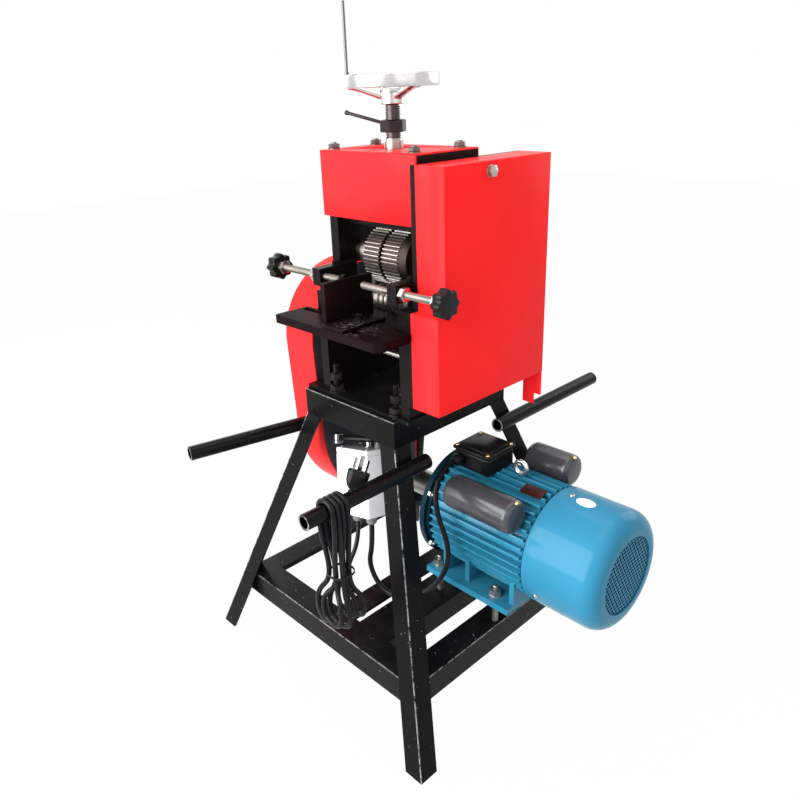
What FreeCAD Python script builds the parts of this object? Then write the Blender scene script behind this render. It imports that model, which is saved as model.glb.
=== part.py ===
"""Electric wire stripping machine on an angle-iron stand.

Millimetres. The origin is on the floor under the middle of the stand, +Z is up, +X points
to the gear cover and the motor's fan, and -Y is the front, where the wire goes in.
"""
import FreeCAD, Part
import math
import os

import Sketcher

doc = FreeCAD.newDocument("wire_stripper")
sheet = doc.addObject("Spreadsheet::Sheet", "Sheet")

# Driving sizes: alias, value, what it is

SIZES = [
    ("angle_side", 40.0, "width of both flanges of the rings' angle iron"),
    ("leg_side", 30.0, "width of both flanges of the legs' angle iron"),
    ("angle_wall", 4.0, "wall of the angle iron"),
    ("ring_half_x", 96.0, "half the top ring's width"),
    ("ring_half_y", 118.0, "half the top ring's depth"),
    ("ring_top", 447.0, "height of the top ring"),
    ("foot_half_x", 243.0, "leg corner at the floor, across"),
    ("foot_half_y", 231.0, "leg corner at the floor, along"),
    ("brace_top", 111.4, "height of the lower brace ring"),
    ("base_thick", 6.0, "base plate thickness"),
    ("base_front", 112.0, "base plate front edge in front of the origin"),
    ("base_right", 118.0, "base plate right edge"),
    ("channel_left", 43.0, "left edge of the channel under the motor"),
    ("channel_wide", 65.0, "width of that channel"),
    ("channel_deep", 36.0, "depth of that channel"),
    ("cross_left", -8.0, "left edge of the second cross member"),
    ("tube_dia", 21.3, "carrying handle tube, outside"),
    ("tube_wall", 2.6, "carrying handle tube wall"),
    ("handle_drop", 65.0, "carrying handles below the ring's top"),
    ("handle_front_end", 291.0, "front handles' free ends, in front of the origin"),
    ("handle_rear_end", 336.0, "rear handles' free ends, behind the origin"),
    ("handle_root", 77.0, "handles' inner ends"),
    ("handle_splay", 13.0, "left handles' outward angle, degrees"),
    ("side_thick", 16.0, "side plate thickness"),
    ("left_plate_x", -66.0, "left side plate's outer face"),
    ("right_plate_x", 98.0, "right side plate's inner face"),
    ("head_front", 72.0, "upper front edge of the side plates"),
    ("head_rear", 92.0, "rear edge of the side plates"),
    ("foot_front", 105.0, "lower front edge of the side plates"),
    ("step_rise", 16.0, "side plates' forward step above the lower roller axis"),
    ("plate_rise", 117.0, "top of the side plates above the lower roller axis"),
    ("cover_rise", 72.0, "underside of the head's top plate above the side plates"),
    ("top_thick", 12.0, "head top plate thickness"),
    ("cover_front", 82.0, "front of the head cover"),
    ("cover_rear", 34.0, "rear of the head cover"),
    ("sheet_wall", 2.0, "sheet metal of the covers"),
    ("gear_plate_thick", 8.0, "back plate of the gear case"),
    ("gear_cover_deep", 46.6, "depth of the gear cover"),
    ("gear_cover_low", 472.0, "bottom of the gear cover"),
    ("gear_cover_rise", 75.0, "top of the gear cover above the side plates"),
    ("gear_cover_front", 92.0, "upper front of the gear cover"),
    ("gear_cover_step", 106.0, "lower front of the gear cover"),
    ("gear_cover_rear", 114.0, "rear of the gear cover"),
    ("roller_y", -30.0, "roller axes, fore and aft"),
    ("lower_z", 585.0, "height of the lower roller axis"),
    ("roller_gap", 1.0, "gap between the rollers"),
    ("upper_dia", 78.0, "upper roller over its teeth"),
    ("roller_left", -5.0, "left end of the upper roller's teeth"),
    ("roller_right", 62.0, "right end of the upper roller's teeth"),
    ("shaft_dia", 24.0, "roller shafts"),
    ("carriage_travel", 4.0, "lift of the upper roller"),
    ("block_wide", 44.0, "bearing block width"),
    ("spindle_x", 24.0, "pressing spindle axis"),
    ("spindle_dia", 20.0, "pressing spindle"),
    ("spindle_pitch", 2.5, "pressing spindle thread pitch"),
    ("wheel_dia", 121.0, "handwheel over the rim"),
    ("wheel_rise", 96.0, "middle of the handwheel's rim above the top plate's underside"),
    ("wheel_rim", 16.0, "height of the handwheel's rim band"),
    ("crank_dia", 4.0, "crank rod on the handwheel"),
    ("crank_high", 84.0, "crank rod length"),
    ("lock_rise", 42.0, "lock nut's middle above the top plate's underside"),
    ("table_drop", 10.0, "feed table's top below the lower roller axis"),
    ("table_thick", 12.0, "feed table thickness"),
    ("table_front", 164.5, "feed table front edge"),
    ("table_left", -86.0, "feed table left edge"),
    ("table_right", 123.0, "feed table right edge"),
    ("table_wing", 109.0, "rear edge of the table's wings"),
    ("fence_x", 9.0, "fence plate's left face"),
    ("fence_high", 57.0, "fence plate height"),
    ("fence_thick", 8.0, "fence plate thickness"),
    ("screw_dia", 10.0, "guide screws"),
    ("screw_y", -112.0, "guide screws, fore and aft"),
    ("screw_rise", 51.0, "guide screws above the feed table's top"),
    ("knob_dia", 38.0, "star knobs"),
    ("input_y", 14.7, "input shaft axis, fore and aft"),
    ("input_z", 506.3, "input shaft axis height"),
    ("input_dia", 22.0, "input shaft"),
    ("belt_x", -130.0, "belt plane"),
    ("driven_dia", 170.0, "driven pulley"),
    ("drive_dia", 62.0, "motor pulley"),
    ("pulley_wide", 20.0, "pulley rim width"),
    ("guard_out", -163.0, "guard's outer face"),
    ("guard_in", -98.0, "guard's inner rim"),
    ("guard_top_y", 14.7, "guard top arc centre, fore and aft"),
    ("guard_top_z", 506.3, "guard top arc centre height"),
    ("guard_top_r", 112.0, "guard top arc radius"),
    ("guard_low_y", 68.6, "guard bottom arc centre, fore and aft"),
    ("guard_low_z", 361.8, "guard bottom arc centre height"),
    ("guard_low_r", 159.6, "guard bottom arc radius"),
    ("guard_rear_y", 114.0, "guard's rear edge at the bottom"),
    ("motor_y", 57.0, "motor axis, fore and aft"),
    ("motor_z", 240.0, "motor axis height"),
    ("frame_r", 76.0, "stator frame under the fins"),
    ("fin_r", 86.0, "stator over the fins"),
    ("fan_cover_r", 87.5, "fan cover"),
    ("stator_left", 68.0, "stator frame's drive end"),
    ("stator_right", 245.0, "stator frame's fan end"),
    ("shield_left", 25.0, "drive-end shield's outer face"),
    ("fan_end", 360.0, "fan cover's end"),
    ("motor_shaft_dia", 24.0, "motor shaft"),
    ("motor_shaft_end", -28.0, "end of the motor shaft"),
    ("foot_z", 150.0, "underside of the motor feet"),
    ("foot_thick", 10.0, "motor foot thickness"),
    ("hole_left", 78.0, "drive-end foot holes"),
    ("hole_pitch", 112.0, "foot hole spacing along the motor"),
    ("hole_span", 140.0, "foot hole spacing across the motor"),
    ("stud_dia", 10.0, "motor studs"),
    ("switch_wide", 73.0, "reversing switch width"),
    ("switch_deep", 51.0, "reversing switch depth"),
    ("switch_high", 105.0, "reversing switch height"),
    ("switch_tilt", 17.0, "reversing switch lean, degrees"),
    ("cord_dia", 7.0, "power cord"),
    ("fit_gap", 0.05, "radial clearance of shafts in bearings"),
    ("free_gap", 0.3, "clearance between faces on different bodies"),
]


class Dim:
    """A length with its value and the sheet expression that gives it."""

    def __init__(self, value, text=None):
        self.value = float(value)
        self.text = repr(float(value)) if text is None else text

    def _join(self, other, sign, value, swap=False):
        other = as_dim(other)
        left, right = (other, self) if swap else (self, other)
        return Dim(value(left.value, right.value), "(%s %s %s)" % (left.text, sign, right.text))

    def __add__(self, other):
        return self._join(other, "+", lambda a, b: a + b)

    def __radd__(self, other):
        return self._join(other, "+", lambda a, b: a + b, swap=True)

    def __sub__(self, other):
        return self._join(other, "-", lambda a, b: a - b)

    def __rsub__(self, other):
        return self._join(other, "-", lambda a, b: a - b, swap=True)

    def __mul__(self, other):
        return self._join(other, "*", lambda a, b: a * b)

    def __rmul__(self, other):
        return self._join(other, "*", lambda a, b: a * b, swap=True)

    def __truediv__(self, other):
        return self._join(other, "/", lambda a, b: a / b)

    def __neg__(self):
        return Dim(-self.value, "(-1 * %s)" % self.text)

    def __float__(self):
        return self.value


def as_dim(number):
    return number if isinstance(number, Dim) else Dim(number)


class Sizes:
    """The driving sizes as attributes."""


size = Sizes()
for row, (alias, number, what) in enumerate(SIZES, start=1):
    sheet.set("A%d" % row, what)
    sheet.set("B%d" % row, str(number))
    sheet.setAlias("B%d" % row, alias)
    setattr(size, alias, Dim(number, "Sheet." + alias))
doc.recompute()

nodes = {}
made = {}

AXES = {"x": FreeCAD.Vector(1, 0, 0), "y": FreeCAD.Vector(0, 1, 0), "z": FreeCAD.Vector(0, 0, 1)}
UPRIGHT = {
    "x": FreeCAD.Rotation(AXES["y"], 90),
    "y": FreeCAD.Rotation(AXES["x"], -90),
    "z": FreeCAD.Rotation(),
}


def bind(thing, path, dim):
    thing.setExpression(path, as_dim(dim).text)


def fresh(name):
    """A new object name built on the given one."""
    made[name] = made.get(name, 0) + 1
    return "%s_%d" % (name, made[name])


def keep(label, thing):
    """Names the finished sub-part after its node."""
    thing.Label = label
    nodes[label] = thing
    return thing


def move(thing, x=0.0, y=0.0, z=0.0):
    for axis, dim in (("x", x), ("y", y), ("z", z)):
        bind(thing, ".Placement.Base." + axis, dim)
    return thing


def block(name, x, y, z):
    """A box from its low and high corner on each axis."""
    box = doc.addObject("Part::Box", fresh(name))
    for edge, (low, high) in (("Length", x), ("Width", y), ("Height", z)):
        bind(box, edge, as_dim(high) - low)
    return move(box, x[0], y[0], z[0])


def rod(name, axis, centre, low, high, dia):
    """A cylinder along an axis; centre holds the other two places in x, y, z order."""
    cylinder = doc.addObject("Part::Cylinder", fresh(name))
    bind(cylinder, "Radius", as_dim(dia) / 2)
    bind(cylinder, "Height", as_dim(high) - low)
    cylinder.Placement.Rotation = UPRIGHT[axis]
    place = list(centre)
    place.insert("xyz".index(axis), low)
    return move(cylinder, *place)


def prism(name, axis, centre, low, high, flats, sides=6):
    """A nut or bolt head, given over its flats."""
    solid = doc.addObject("Part::Prism", fresh(name))
    solid.Polygon = sides
    bind(solid, "Circumradius", as_dim(flats) / (2 * math.cos(math.pi / sides)))
    bind(solid, "Height", as_dim(high) - low)
    solid.Placement.Rotation = UPRIGHT[axis]
    place = list(centre)
    place.insert("xyz".index(axis), low)
    return move(solid, *place)


def fuse(name, parts):
    union = doc.addObject("Part::MultiFuse", fresh(name))
    union.Shapes = parts
    union.Refine = True
    return union


def cut(name, base, tools):
    result = doc.addObject("Part::Cut", fresh(name))
    result.Base = base
    result.Tool = tools[0] if len(tools) == 1 else fuse(name + "_tools", tools)
    result.Refine = True
    return result


def group(name, parts):
    """Several separate solids in one node."""
    bundle = doc.addObject("Part::Compound", fresh(name))
    bundle.Links = parts
    return bundle


def feature(name, shape):
    thing = doc.addObject("Part::Feature", fresh(name))
    thing.Shape = shape
    return thing


def origin_plane(body, role):
    return next(item for item in body.Origin.OriginFeatures if item.Role == role)


def sketch_on(body, role, offset=0.0):
    drawing = body.newObject("Sketcher::SketchObject", fresh(body.Name + "_sketch"))
    drawing.AttachmentSupport = [(origin_plane(body, role), "")]
    drawing.MapMode = "FlatFace"
    bind(drawing, ".AttachmentOffset.Base.z", offset)
    return drawing


def tie(drawing, kind, refs, dim):
    """One driving constraint bound to the sheet."""
    dim = as_dim(dim)
    index = drawing.addConstraint(Sketcher.Constraint(kind, *refs, dim.value))
    drawing.setExpression("Constraints[%d]" % index, dim.text)


def polygon(drawing, points):
    """A closed outline of straight lines with every corner placed from the origin."""
    corners = [FreeCAD.Vector(float(x), float(y), 0) for x, y in points]
    first = drawing.GeometryCount
    count = len(corners)
    for i in range(count):
        drawing.addGeometry(Part.LineSegment(corners[i], corners[(i + 1) % count]), False)
    for i in range(count):
        following = first + (i + 1) % count
        drawing.addConstraint(Sketcher.Constraint("Coincident", first + i, 2, following, 1))
    for i, (x, y) in enumerate(points):
        tie(drawing, "DistanceX", (-1, 1, first + i, 1), x)
        tie(drawing, "DistanceY", (-1, 1, first + i, 1), y)


def circle(drawing, x, y, dia):
    centre = FreeCAD.Vector(float(x), float(y), 0)
    index = drawing.addGeometry(Part.Circle(centre, AXES["z"], float(dia) / 2), False)
    tie(drawing, "DistanceX", (-1, 1, index, 3), x)
    tie(drawing, "DistanceY", (-1, 1, index, 3), y)
    tie(drawing, "Radius", (index,), as_dim(dia) / 2)


PLATE = {"x": ("YZ_Plane", 1), "y": ("XZ_Plane", -1), "z": ("XY_Plane", 1)}


def add_pad(body, axis, low, high, points=(), circles=(), kind="Pad", windows=()):
    """A pad or pocket between two places on an axis; a sketch reads the other two axes."""
    role, sense = PLATE[axis]
    start = as_dim(low) if sense == 1 else -as_dim(high)
    if kind == "Pocket":
        start = as_dim(high) if sense == 1 else -as_dim(low)
    drawing = sketch_on(body, role, start)
    if points:
        polygon(drawing, points)
    for window in windows:
        polygon(drawing, window)
    for x, y, dia in circles:
        circle(drawing, x, y, dia)
    solid = body.newObject("PartDesign::" + kind, fresh(body.Name + "_" + kind))
    solid.Profile = drawing
    bind(solid, "Length", as_dim(high) - low)
    drawing.Visibility = False
    body.Tip = solid
    return solid


def plate(name, axis, low, high, points=(), circles=(), windows=()):
    body = doc.addObject("PartDesign::Body", fresh(name))
    add_pad(body, axis, low, high, points, circles, windows=windows)
    return body


def add_turn(body, axis, points, kind="Revolution"):
    """Turns an outline of (place along the axis, radius) about that axis."""
    role = "XY_Plane" if axis == "y" else "XZ_Plane"
    drawing = sketch_on(body, role)
    flat = axis == "x"
    polygon(drawing, [(a, r) if flat else (r, a) for a, r in points])
    solid = body.newObject("PartDesign::" + kind, fresh(body.Name + "_" + kind))
    solid.Profile = drawing
    solid.ReferenceAxis = (drawing, ["H_Axis" if flat else "V_Axis"])
    solid.Angle = 360
    drawing.Visibility = False
    body.Tip = solid
    return solid


def turned(name, axis, points, centre=(0.0, 0.0)):
    body = doc.addObject("PartDesign::Body", fresh(name))
    add_turn(body, axis, points)
    place = list(centre)
    place.insert("xyz".index(axis), 0.0)
    return move(body, *place)


def pattern(body, base, axis, count):
    """Repeats a feature about the body's own axis."""
    ring = body.newObject("PartDesign::PolarPattern", fresh(body.Name + "_ring"))
    ring.Originals = [base]
    ring.Axis = (origin_plane(body, axis.upper() + "_Axis"), [""])
    ring.Angle = 360
    ring.Occurrences = count
    body.Tip = ring
    return ring


def edge_names(solid, wanted):
    """Names of the edges of a feature that a test on the edge picks."""
    doc.recompute()
    return ["Edge%d" % i for i, edge in enumerate(solid.Shape.Edges, 1) if wanted(edge)]


def dress(body, solid, kind, amount, wanted):
    """Rounds or bevels picked edges."""
    names = edge_names(solid, wanted)
    skin = body.newObject("PartDesign::" + kind, fresh(body.Name + "_" + kind))
    skin.Base = (solid, names)
    bind(skin, "Radius" if kind == "Fillet" else "Size", amount)
    body.Tip = skin
    return skin


def along(axis):
    """A test for straight edges that run along an axis."""
    unit = AXES[axis]

    def test(edge):
        if edge.Curve.TypeId != "Part::GeomLine":
            return False
        run = edge.Vertexes[-1].Point - edge.Vertexes[0].Point
        return run.Length > 1e-6 and abs(abs(run.dot(unit)) - run.Length) < 1e-6
    return test


# Heights that follow one another

plate_top = size.lower_z + size.plate_rise
cover_top = plate_top + size.cover_rise
gear_cover_high = plate_top + size.gear_cover_rise
step_height = size.lower_z + size.step_rise
wheel_z = cover_top + size.wheel_rise
lock_z = cover_top + size.lock_rise
table_top = size.lower_z - size.table_drop
screw_z = table_top + size.screw_rise
handle_z = size.ring_top - size.handle_drop
feed_module = 3.0
lower_teeth = 18
upper_teeth = 24
feed_centre = feed_module * (lower_teeth + upper_teeth) / 2
lower_dia = 2 * (feed_centre - size.roller_gap) - size.upper_dia

# Stand

angle_low = size.ring_top - size.angle_side
slope_x = (size.foot_half_x - size.ring_half_x) / angle_low
slope_y = (size.foot_half_y - size.ring_half_y) / angle_low


def leg_corner(height):
    """The leg's outer corner at a height, as distances from the middle."""
    drop = angle_low - height
    return size.ring_half_x + slope_x * drop, size.ring_half_y + slope_y * drop


def angle_section(corner_x, corner_y, side_x, side_y):
    """An angle's outline with its corner outward."""
    def at(across, along_y):
        return side_x * (corner_x - across), side_y * (corner_y - along_y)
    wall, side = size.angle_wall, size.leg_side
    return [at(0, 0), at(side, 0), at(side, wall), at(wall, wall), at(wall, side), at(0, side)]


legs = {}
for name_y, sign_y in (("front", -1), ("rear", 1)):
    for name_x, sign_x in (("left", -1), ("right", 1)):
        leg = doc.addObject("PartDesign::Body", fresh("leg"))
        foot = sketch_on(leg, "XY_Plane", 0.0)
        polygon(foot, angle_section(size.foot_half_x, size.foot_half_y, sign_x, sign_y))
        head = sketch_on(leg, "XY_Plane", angle_low)
        polygon(head, angle_section(size.ring_half_x, size.ring_half_y, sign_x, sign_y))
        shank = leg.newObject("PartDesign::AdditiveLoft", fresh("leg_loft"))
        shank.Profile = foot
        shank.Sections = [head]
        shank.Ruled = True
        leg.Tip = shank
        legs[name_y, name_x] = leg


motor_way = rod("motor_way", "x", (size.motor_y, size.motor_z), size.ring_half_x, size.foot_half_x,
                2 * (size.fin_r + 3))
legs["rear", "right"] = cut("leg_notched", legs["rear", "right"], [motor_way])
for (name_y, name_x), leg in legs.items():
    keep("leg_%s_%s" % (name_y, name_x), leg)


def leg_block(sign_x, sign_y, gap):
    """The space a leg's section takes up between its flanges, with a margin all round."""
    def outline(height):
        x, y = leg_corner(height)
        side = float(size.leg_side) + 2 * gap
        far_x, far_y = sign_x * (float(x) + gap), sign_y * (float(y) + gap)
        near_x, near_y = far_x - sign_x * side, far_y - sign_y * side
        corners = [FreeCAD.Vector(far_x, far_y, height), FreeCAD.Vector(near_x, far_y, height),
                   FreeCAD.Vector(near_x, near_y, height), FreeCAD.Vector(far_x, near_y, height)]
        return Part.makePolygon(corners + corners[:1])
    return Part.makeLoft([outline(0.0), outline(float(angle_low) + gap)], True, True)


def rail(axis, half_run, corner, top, sign, trim):
    """A ring's angle: flat flange on top pointing in, the other hanging outside."""
    inner = corner - size.angle_side
    wall = size.angle_wall
    low = top - size.angle_side
    flat_run = half_run - trim * size.angle_side
    down_run = half_run - trim * wall
    across = (sign * inner, sign * corner) if sign > 0 else (sign * corner, sign * inner)
    skin = (sign * (corner - wall), sign * corner) if sign > 0 else (sign * corner, sign * (corner - wall))
    flat = (-flat_run, flat_run)
    down = (-down_run, down_run)
    if axis == "x":
        return fuse("rail", [block("rail", flat, across, (top - wall, top)),
                             block("rail", down, skin, (low, top - (wall if trim else 0)))])
    return fuse("rail", [block("rail", across, flat, (top - wall, top)),
                         block("rail", skin, down, (low, top - (wall if trim else 0)))])


def ring(label, half_x, half_y, top):
    """Four angles meeting at the corners, as separate bars."""
    bars = [rail("x", half_x, half_y, top, -1, 0), rail("x", half_x, half_y, top, 1, 0),
            rail("y", half_y, half_x, top, -1, 1), rail("y", half_y, half_x, top, 1, 1)]
    keep(label, group(label, bars))


brace_x, brace_y = leg_corner(size.brace_top)
brace_x = brace_x - size.angle_wall
brace_y = brace_y - size.angle_wall
ring("top_ring", size.ring_half_x, size.ring_half_y, size.ring_top)
ring("brace_ring", brace_x, brace_y, size.brace_top)

cross_run = brace_y - size.angle_side
wall = size.angle_wall
channel_right = size.channel_left + size.channel_wide
channel_low = size.brace_top - size.channel_deep
channel = plate("channel", "y", -cross_run, cross_run, [
    (size.channel_left, channel_low), (size.channel_left + wall, channel_low),
    (size.channel_left + wall, size.brace_top - wall), (channel_right - wall, size.brace_top - wall),
    (channel_right - wall, channel_low), (channel_right, channel_low),
    (channel_right, size.brace_top), (size.channel_left, size.brace_top)])
cross_right = size.cross_left + size.angle_side
cross_low = size.brace_top - size.angle_side
cross = plate("cross", "y", -cross_run, cross_run, [
    (size.cross_left, cross_low), (size.cross_left + wall, cross_low),
    (size.cross_left + wall, size.brace_top - wall), (cross_right, size.brace_top - wall),
    (cross_right, size.brace_top), (size.cross_left, size.brace_top)])

keep("motor_cross_members", group("cross_members", [channel, cross]))

base_left = -size.ring_half_x
base_top = size.ring_top + size.base_thick
base = plate("base", "z", size.ring_top, base_top, [
    (base_left, -size.base_front), (size.base_right, -size.base_front),
    (size.base_right, size.ring_half_y), (base_left, size.ring_half_y)])
keep("base_plate", base)

# Carrying handles

leg_x_handle, leg_y_handle = leg_corner(handle_z)
tube_half = size.tube_dia / 2
lean_factor = math.hypot(1.0, float(slope_x))
handle_x = leg_x_handle + tube_half * lean_factor + 0.1


def handle(side, low, high, splay):
    """A tube lying against the outside of a leg top; splay turns it about its root."""
    outer = rod("tube", "y", (0.0, 0.0), low, high, size.tube_dia)
    inner = rod("tube", "y", (0.0, 0.0), low - 1, high + 1, size.tube_dia - 2 * size.tube_wall)
    tube = cut("handle", outer, [inner])
    tube.Placement.Rotation = FreeCAD.Rotation(AXES["z"], float(splay))
    return move(tube, side * handle_x, 0.0, handle_z)


right_front = handle(1, -size.handle_front_end, -size.handle_root, 0.0)
right_rear = handle(1, size.handle_root, size.handle_rear_end, 0.0)

splay_sin = math.sin(math.radians(float(size.handle_splay)))
splay_cos = math.cos(math.radians(float(size.handle_splay)))


def left_handle(sign, reach, root, root_x):
    """A splayed tube coped to the outside of a left leg."""
    length = (reach - root) / splay_cos
    outer = rod("tube", "y", (0.0, 0.0), 0.0, length, size.tube_dia)
    inner = rod("tube", "y", (0.0, 0.0), -1.0, length + 1, size.tube_dia - 2 * size.tube_wall)
    tube = cut("handle", outer, [inner])
    turn = 180 - size.handle_splay.value if sign < 0 else size.handle_splay.value
    tube.Placement.Rotation = FreeCAD.Rotation(AXES["z"], turn)
    move(tube, -root_x, sign * root, handle_z)
    return cut("coped_handle", tube, [feature("leg_room", leg_block(-1, sign, 0.0))])


left_root = leg_y_handle - 22.0
left_root_x = leg_x_handle + tube_half / splay_cos - 22.0 * (splay_sin / splay_cos)
keep("carrying_handles", group("carrying_handles", [
    right_front, right_rear,
    left_handle(-1, size.handle_front_end, left_root, left_root_x),
    left_handle(1, size.handle_rear_end, leg_y_handle - 2.0, leg_x_handle - size.tube_dia * 0.6)]))

# Head: side plates, top plate and covers

left_inner = size.left_plate_x + size.side_thick
right_outer = size.right_plate_x + size.side_thick
half_block = size.block_wide / 2
slot_front = size.roller_y - half_block
slot_rear = size.roller_y + half_block
slot_low = size.lower_z - half_block
upper_z = size.lower_z + feed_centre
half_input = size.input_dia / 2
input_bore = size.input_dia + 2 * size.free_gap + 2


def side_plate(label, low, high):
    """A cheek with an open slot for the bearing blocks and a hole for the input shaft."""
    outline = [(-size.foot_front, base_top), (size.head_rear, base_top), (size.head_rear, plate_top),
               (slot_rear, plate_top), (slot_rear, slot_low), (slot_front, slot_low),
               (slot_front, plate_top), (-size.head_front, plate_top),
               (-size.head_front, step_height), (-size.foot_front, step_height)]
    keep(label, plate("cheek", "x", low, high, outline, [(size.input_y, size.input_z, input_bore)]))


side_plate("side_plate_left", size.left_plate_x, left_inner)
side_plate("side_plate_right", size.right_plate_x, right_outer)

head_top = cover_top + size.top_thick
sheet_top = head_top + size.sheet_wall
nut_dia = 25.0
plate_in = size.sheet_wall + size.free_gap
plate_body = plate("head_plate", "z", cover_top, head_top, [
    (size.left_plate_x + plate_in, -size.cover_front + plate_in), (right_outer, -size.cover_front + plate_in),
    (right_outer, size.cover_rear - plate_in), (size.left_plate_x + plate_in, size.cover_rear - plate_in)],
    [(size.spindle_x, size.roller_y, nut_dia)])

post_dia = 13.0
post_y = (-size.cover_front + 16, size.cover_rear - 16)
posts = []
post_in = size.sheet_wall + post_dia / 2 + 0.5
for post_x in (size.left_plate_x + post_in, right_outer - post_in):
    for post_at in post_y:
        posts.append(rod("post", "z", (post_x, post_at), plate_top, cover_top, post_dia))
keep("head_top_plate", group("head_top_plate", [plate_body] + posts))

cover_wall = size.sheet_wall
hood_outline = [(size.left_plate_x, -size.cover_front), (right_outer, -size.cover_front),
                (right_outer, size.cover_rear), (size.left_plate_x, size.cover_rear)]
hood = plate("hood", "z", plate_top, sheet_top, hood_outline)
add_pad(hood, "z", plate_top - 1, cover_top, [
    (size.left_plate_x + cover_wall, -size.cover_front + cover_wall),
    (right_outer - cover_wall, -size.cover_front + cover_wall),
    (right_outer - cover_wall, size.cover_rear - cover_wall),
    (size.left_plate_x + cover_wall, size.cover_rear - cover_wall)], kind="Pocket")
add_pad(hood, "z", cover_top - 1, head_top, [
    (size.left_plate_x + cover_wall, -size.cover_front + cover_wall),
    (right_outer + 1, -size.cover_front + cover_wall),
    (right_outer + 1, size.cover_rear - cover_wall),
    (size.left_plate_x + cover_wall, size.cover_rear - cover_wall)], kind="Pocket")
add_pad(hood, "z", head_top - 1, sheet_top + 1, circles=[(size.spindle_x, size.roller_y, nut_dia + 1)],
        kind="Pocket")
keep("head_cover", hood)

case_left = right_outer + size.gear_plate_thick
case_right = case_left + size.gear_cover_deep
gear_outline = [(-size.gear_cover_step, size.gear_cover_low), (size.gear_cover_rear, size.gear_cover_low),
                (size.gear_cover_rear, gear_cover_high), (-size.gear_cover_front, gear_cover_high),
                (-size.gear_cover_front, step_height), (-size.gear_cover_step, step_height)]

lift = size.carriage_travel
half_shaft = size.shaft_dia / 2
case_bore = size.shaft_dia + 4
case_slot = [(size.roller_y - half_shaft - 2, upper_z - half_shaft - 2),
             (size.roller_y + half_shaft + 2, upper_z - half_shaft - 2),
             (size.roller_y + half_shaft + 2, upper_z + half_shaft + 2 + lift),
             (size.roller_y - half_shaft - 2, upper_z + half_shaft + 2 + lift)]
lay_dia = 20.0
gear_module = 2.5
pinion_teeth = 18
lay_teeth = 48
roller_teeth = 43
first_reach = gear_module * (pinion_teeth + lay_teeth) / 2
second_reach = gear_module * (pinion_teeth + roller_teeth) / 2
input_at = (float(size.input_y), float(size.input_z))
lower_at = (float(size.roller_y), float(size.lower_z))
apart_y = lower_at[0] - input_at[0]
apart_z = lower_at[1] - input_at[1]
apart = math.hypot(apart_y, apart_z)
lay_foot = (first_reach ** 2 - second_reach ** 2 + apart ** 2) / (2 * apart)
lay_off = math.sqrt(first_reach ** 2 - lay_foot ** 2)
lay_at = (input_at[0] + (lay_foot * apart_y + lay_off * apart_z) / apart,
          input_at[1] + (lay_foot * apart_z - lay_off * apart_y) / apart)

case_plate = plate("case_plate", "x", right_outer, case_left, gear_outline,
                   [(size.input_y, size.input_z, input_bore), (lay_at[0], lay_at[1], lay_dia),
                    (size.roller_y, size.lower_z, case_bore)], windows=[case_slot])


def inset(points, amount):
    """The gear case outline moved inwards by a wall."""
    moves = [(1, 1), (-1, 1), (-1, -1), (1, -1), (1, -1), (1, -1)]
    return [(y + sy * amount, z + sz * amount) for (y, z), (sy, sz) in zip(points, moves)]


shell = plate("gear_shell", "x", case_left, case_right, gear_outline)
add_pad(shell, "x", case_left - 1, case_right - size.sheet_wall, inset(gear_outline, size.sheet_wall),
        kind="Pocket")
keep("gear_cover", shell)

# Rollers, bearings and the pressing gear

roller_centre = (size.roller_left + size.roller_right) / 2


def gear_face(module, teeth, phase, slack=0.04):
    """An involute gear's outline about the origin, with its first tooth at an angle."""
    pitch_r = module * teeth / 2
    base_r = pitch_r * math.cos(math.radians(20))
    tip_r = pitch_r + module
    root_r = pitch_r - 1.25 * module
    spread = math.tan(math.radians(20)) - math.radians(20)
    half_tooth = math.pi / (2 * teeth) * (1 - slack) + spread
    start_r = max(base_r, root_r)
    steps = 4
    flank = []
    for i in range(steps):
        r = start_r + (tip_r - start_r) * i / (steps - 1)
        roll = math.sqrt(max((r / base_r) ** 2 - 1, 0.0))
        flank.append((r, half_tooth - (roll - math.atan(roll))))
    points = []
    for tooth in range(teeth):
        middle = phase + 2 * math.pi * tooth / teeth
        points.append((root_r, middle - flank[0][1] * 1.02))
        points += [(r, middle - a) for r, a in flank]
        points += [(r, middle + a) for r, a in reversed(flank)]
        points.append((root_r, middle + flank[0][1] * 1.02))
    corners = [FreeCAD.Vector(0, r * math.cos(a), r * math.sin(a)) for r, a in points]
    return Part.Face(Part.makePolygon(corners + corners[:1]))


def gear_solid(module, teeth, phase, at, low, high, bore):
    """A gear about an X axis at (y, z), with its bore."""
    low, high = float(low), float(high)
    body = gear_face(module, teeth, phase).extrude(FreeCAD.Vector(high - low, 0, 0))
    hole = Part.makeCylinder(float(bore) / 2, high - low + 2, FreeCAD.Vector(-1, 0, 0), AXES["x"])
    body = body.cut(hole)
    body.translate(FreeCAD.Vector(low, float(at[0]), float(at[1])))
    return body


def hub(at, low, high, dia, bore):
    low, high = float(low), float(high)
    start = FreeCAD.Vector(low, float(at[0]), float(at[1]))
    ring_solid = Part.makeCylinder(float(dia) / 2, high - low, start, AXES["x"])
    return ring_solid.cut(Part.makeCylinder(float(bore) / 2, high - low, start, AXES["x"]))


def bearing_at(a, b):
    return math.atan2(b[1] - a[1], b[0] - a[0])


upper_at = (float(size.roller_y), float(upper_z))
plane_gap = 2.0
gear_wide = 10.0
plane_one = case_left + plane_gap
plane_two = plane_one + gear_wide + plane_gap
plane_three = plane_two + gear_wide + plane_gap
shaft_out = plane_three + gear_wide + 1

to_lay = bearing_at(input_at, lay_at)
lay_phase = to_lay + math.pi + math.pi / lay_teeth
to_roller = bearing_at(lay_at, lower_at)
roller_phase = to_roller + math.pi + math.pi / roller_teeth
up = math.pi / 2

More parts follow.
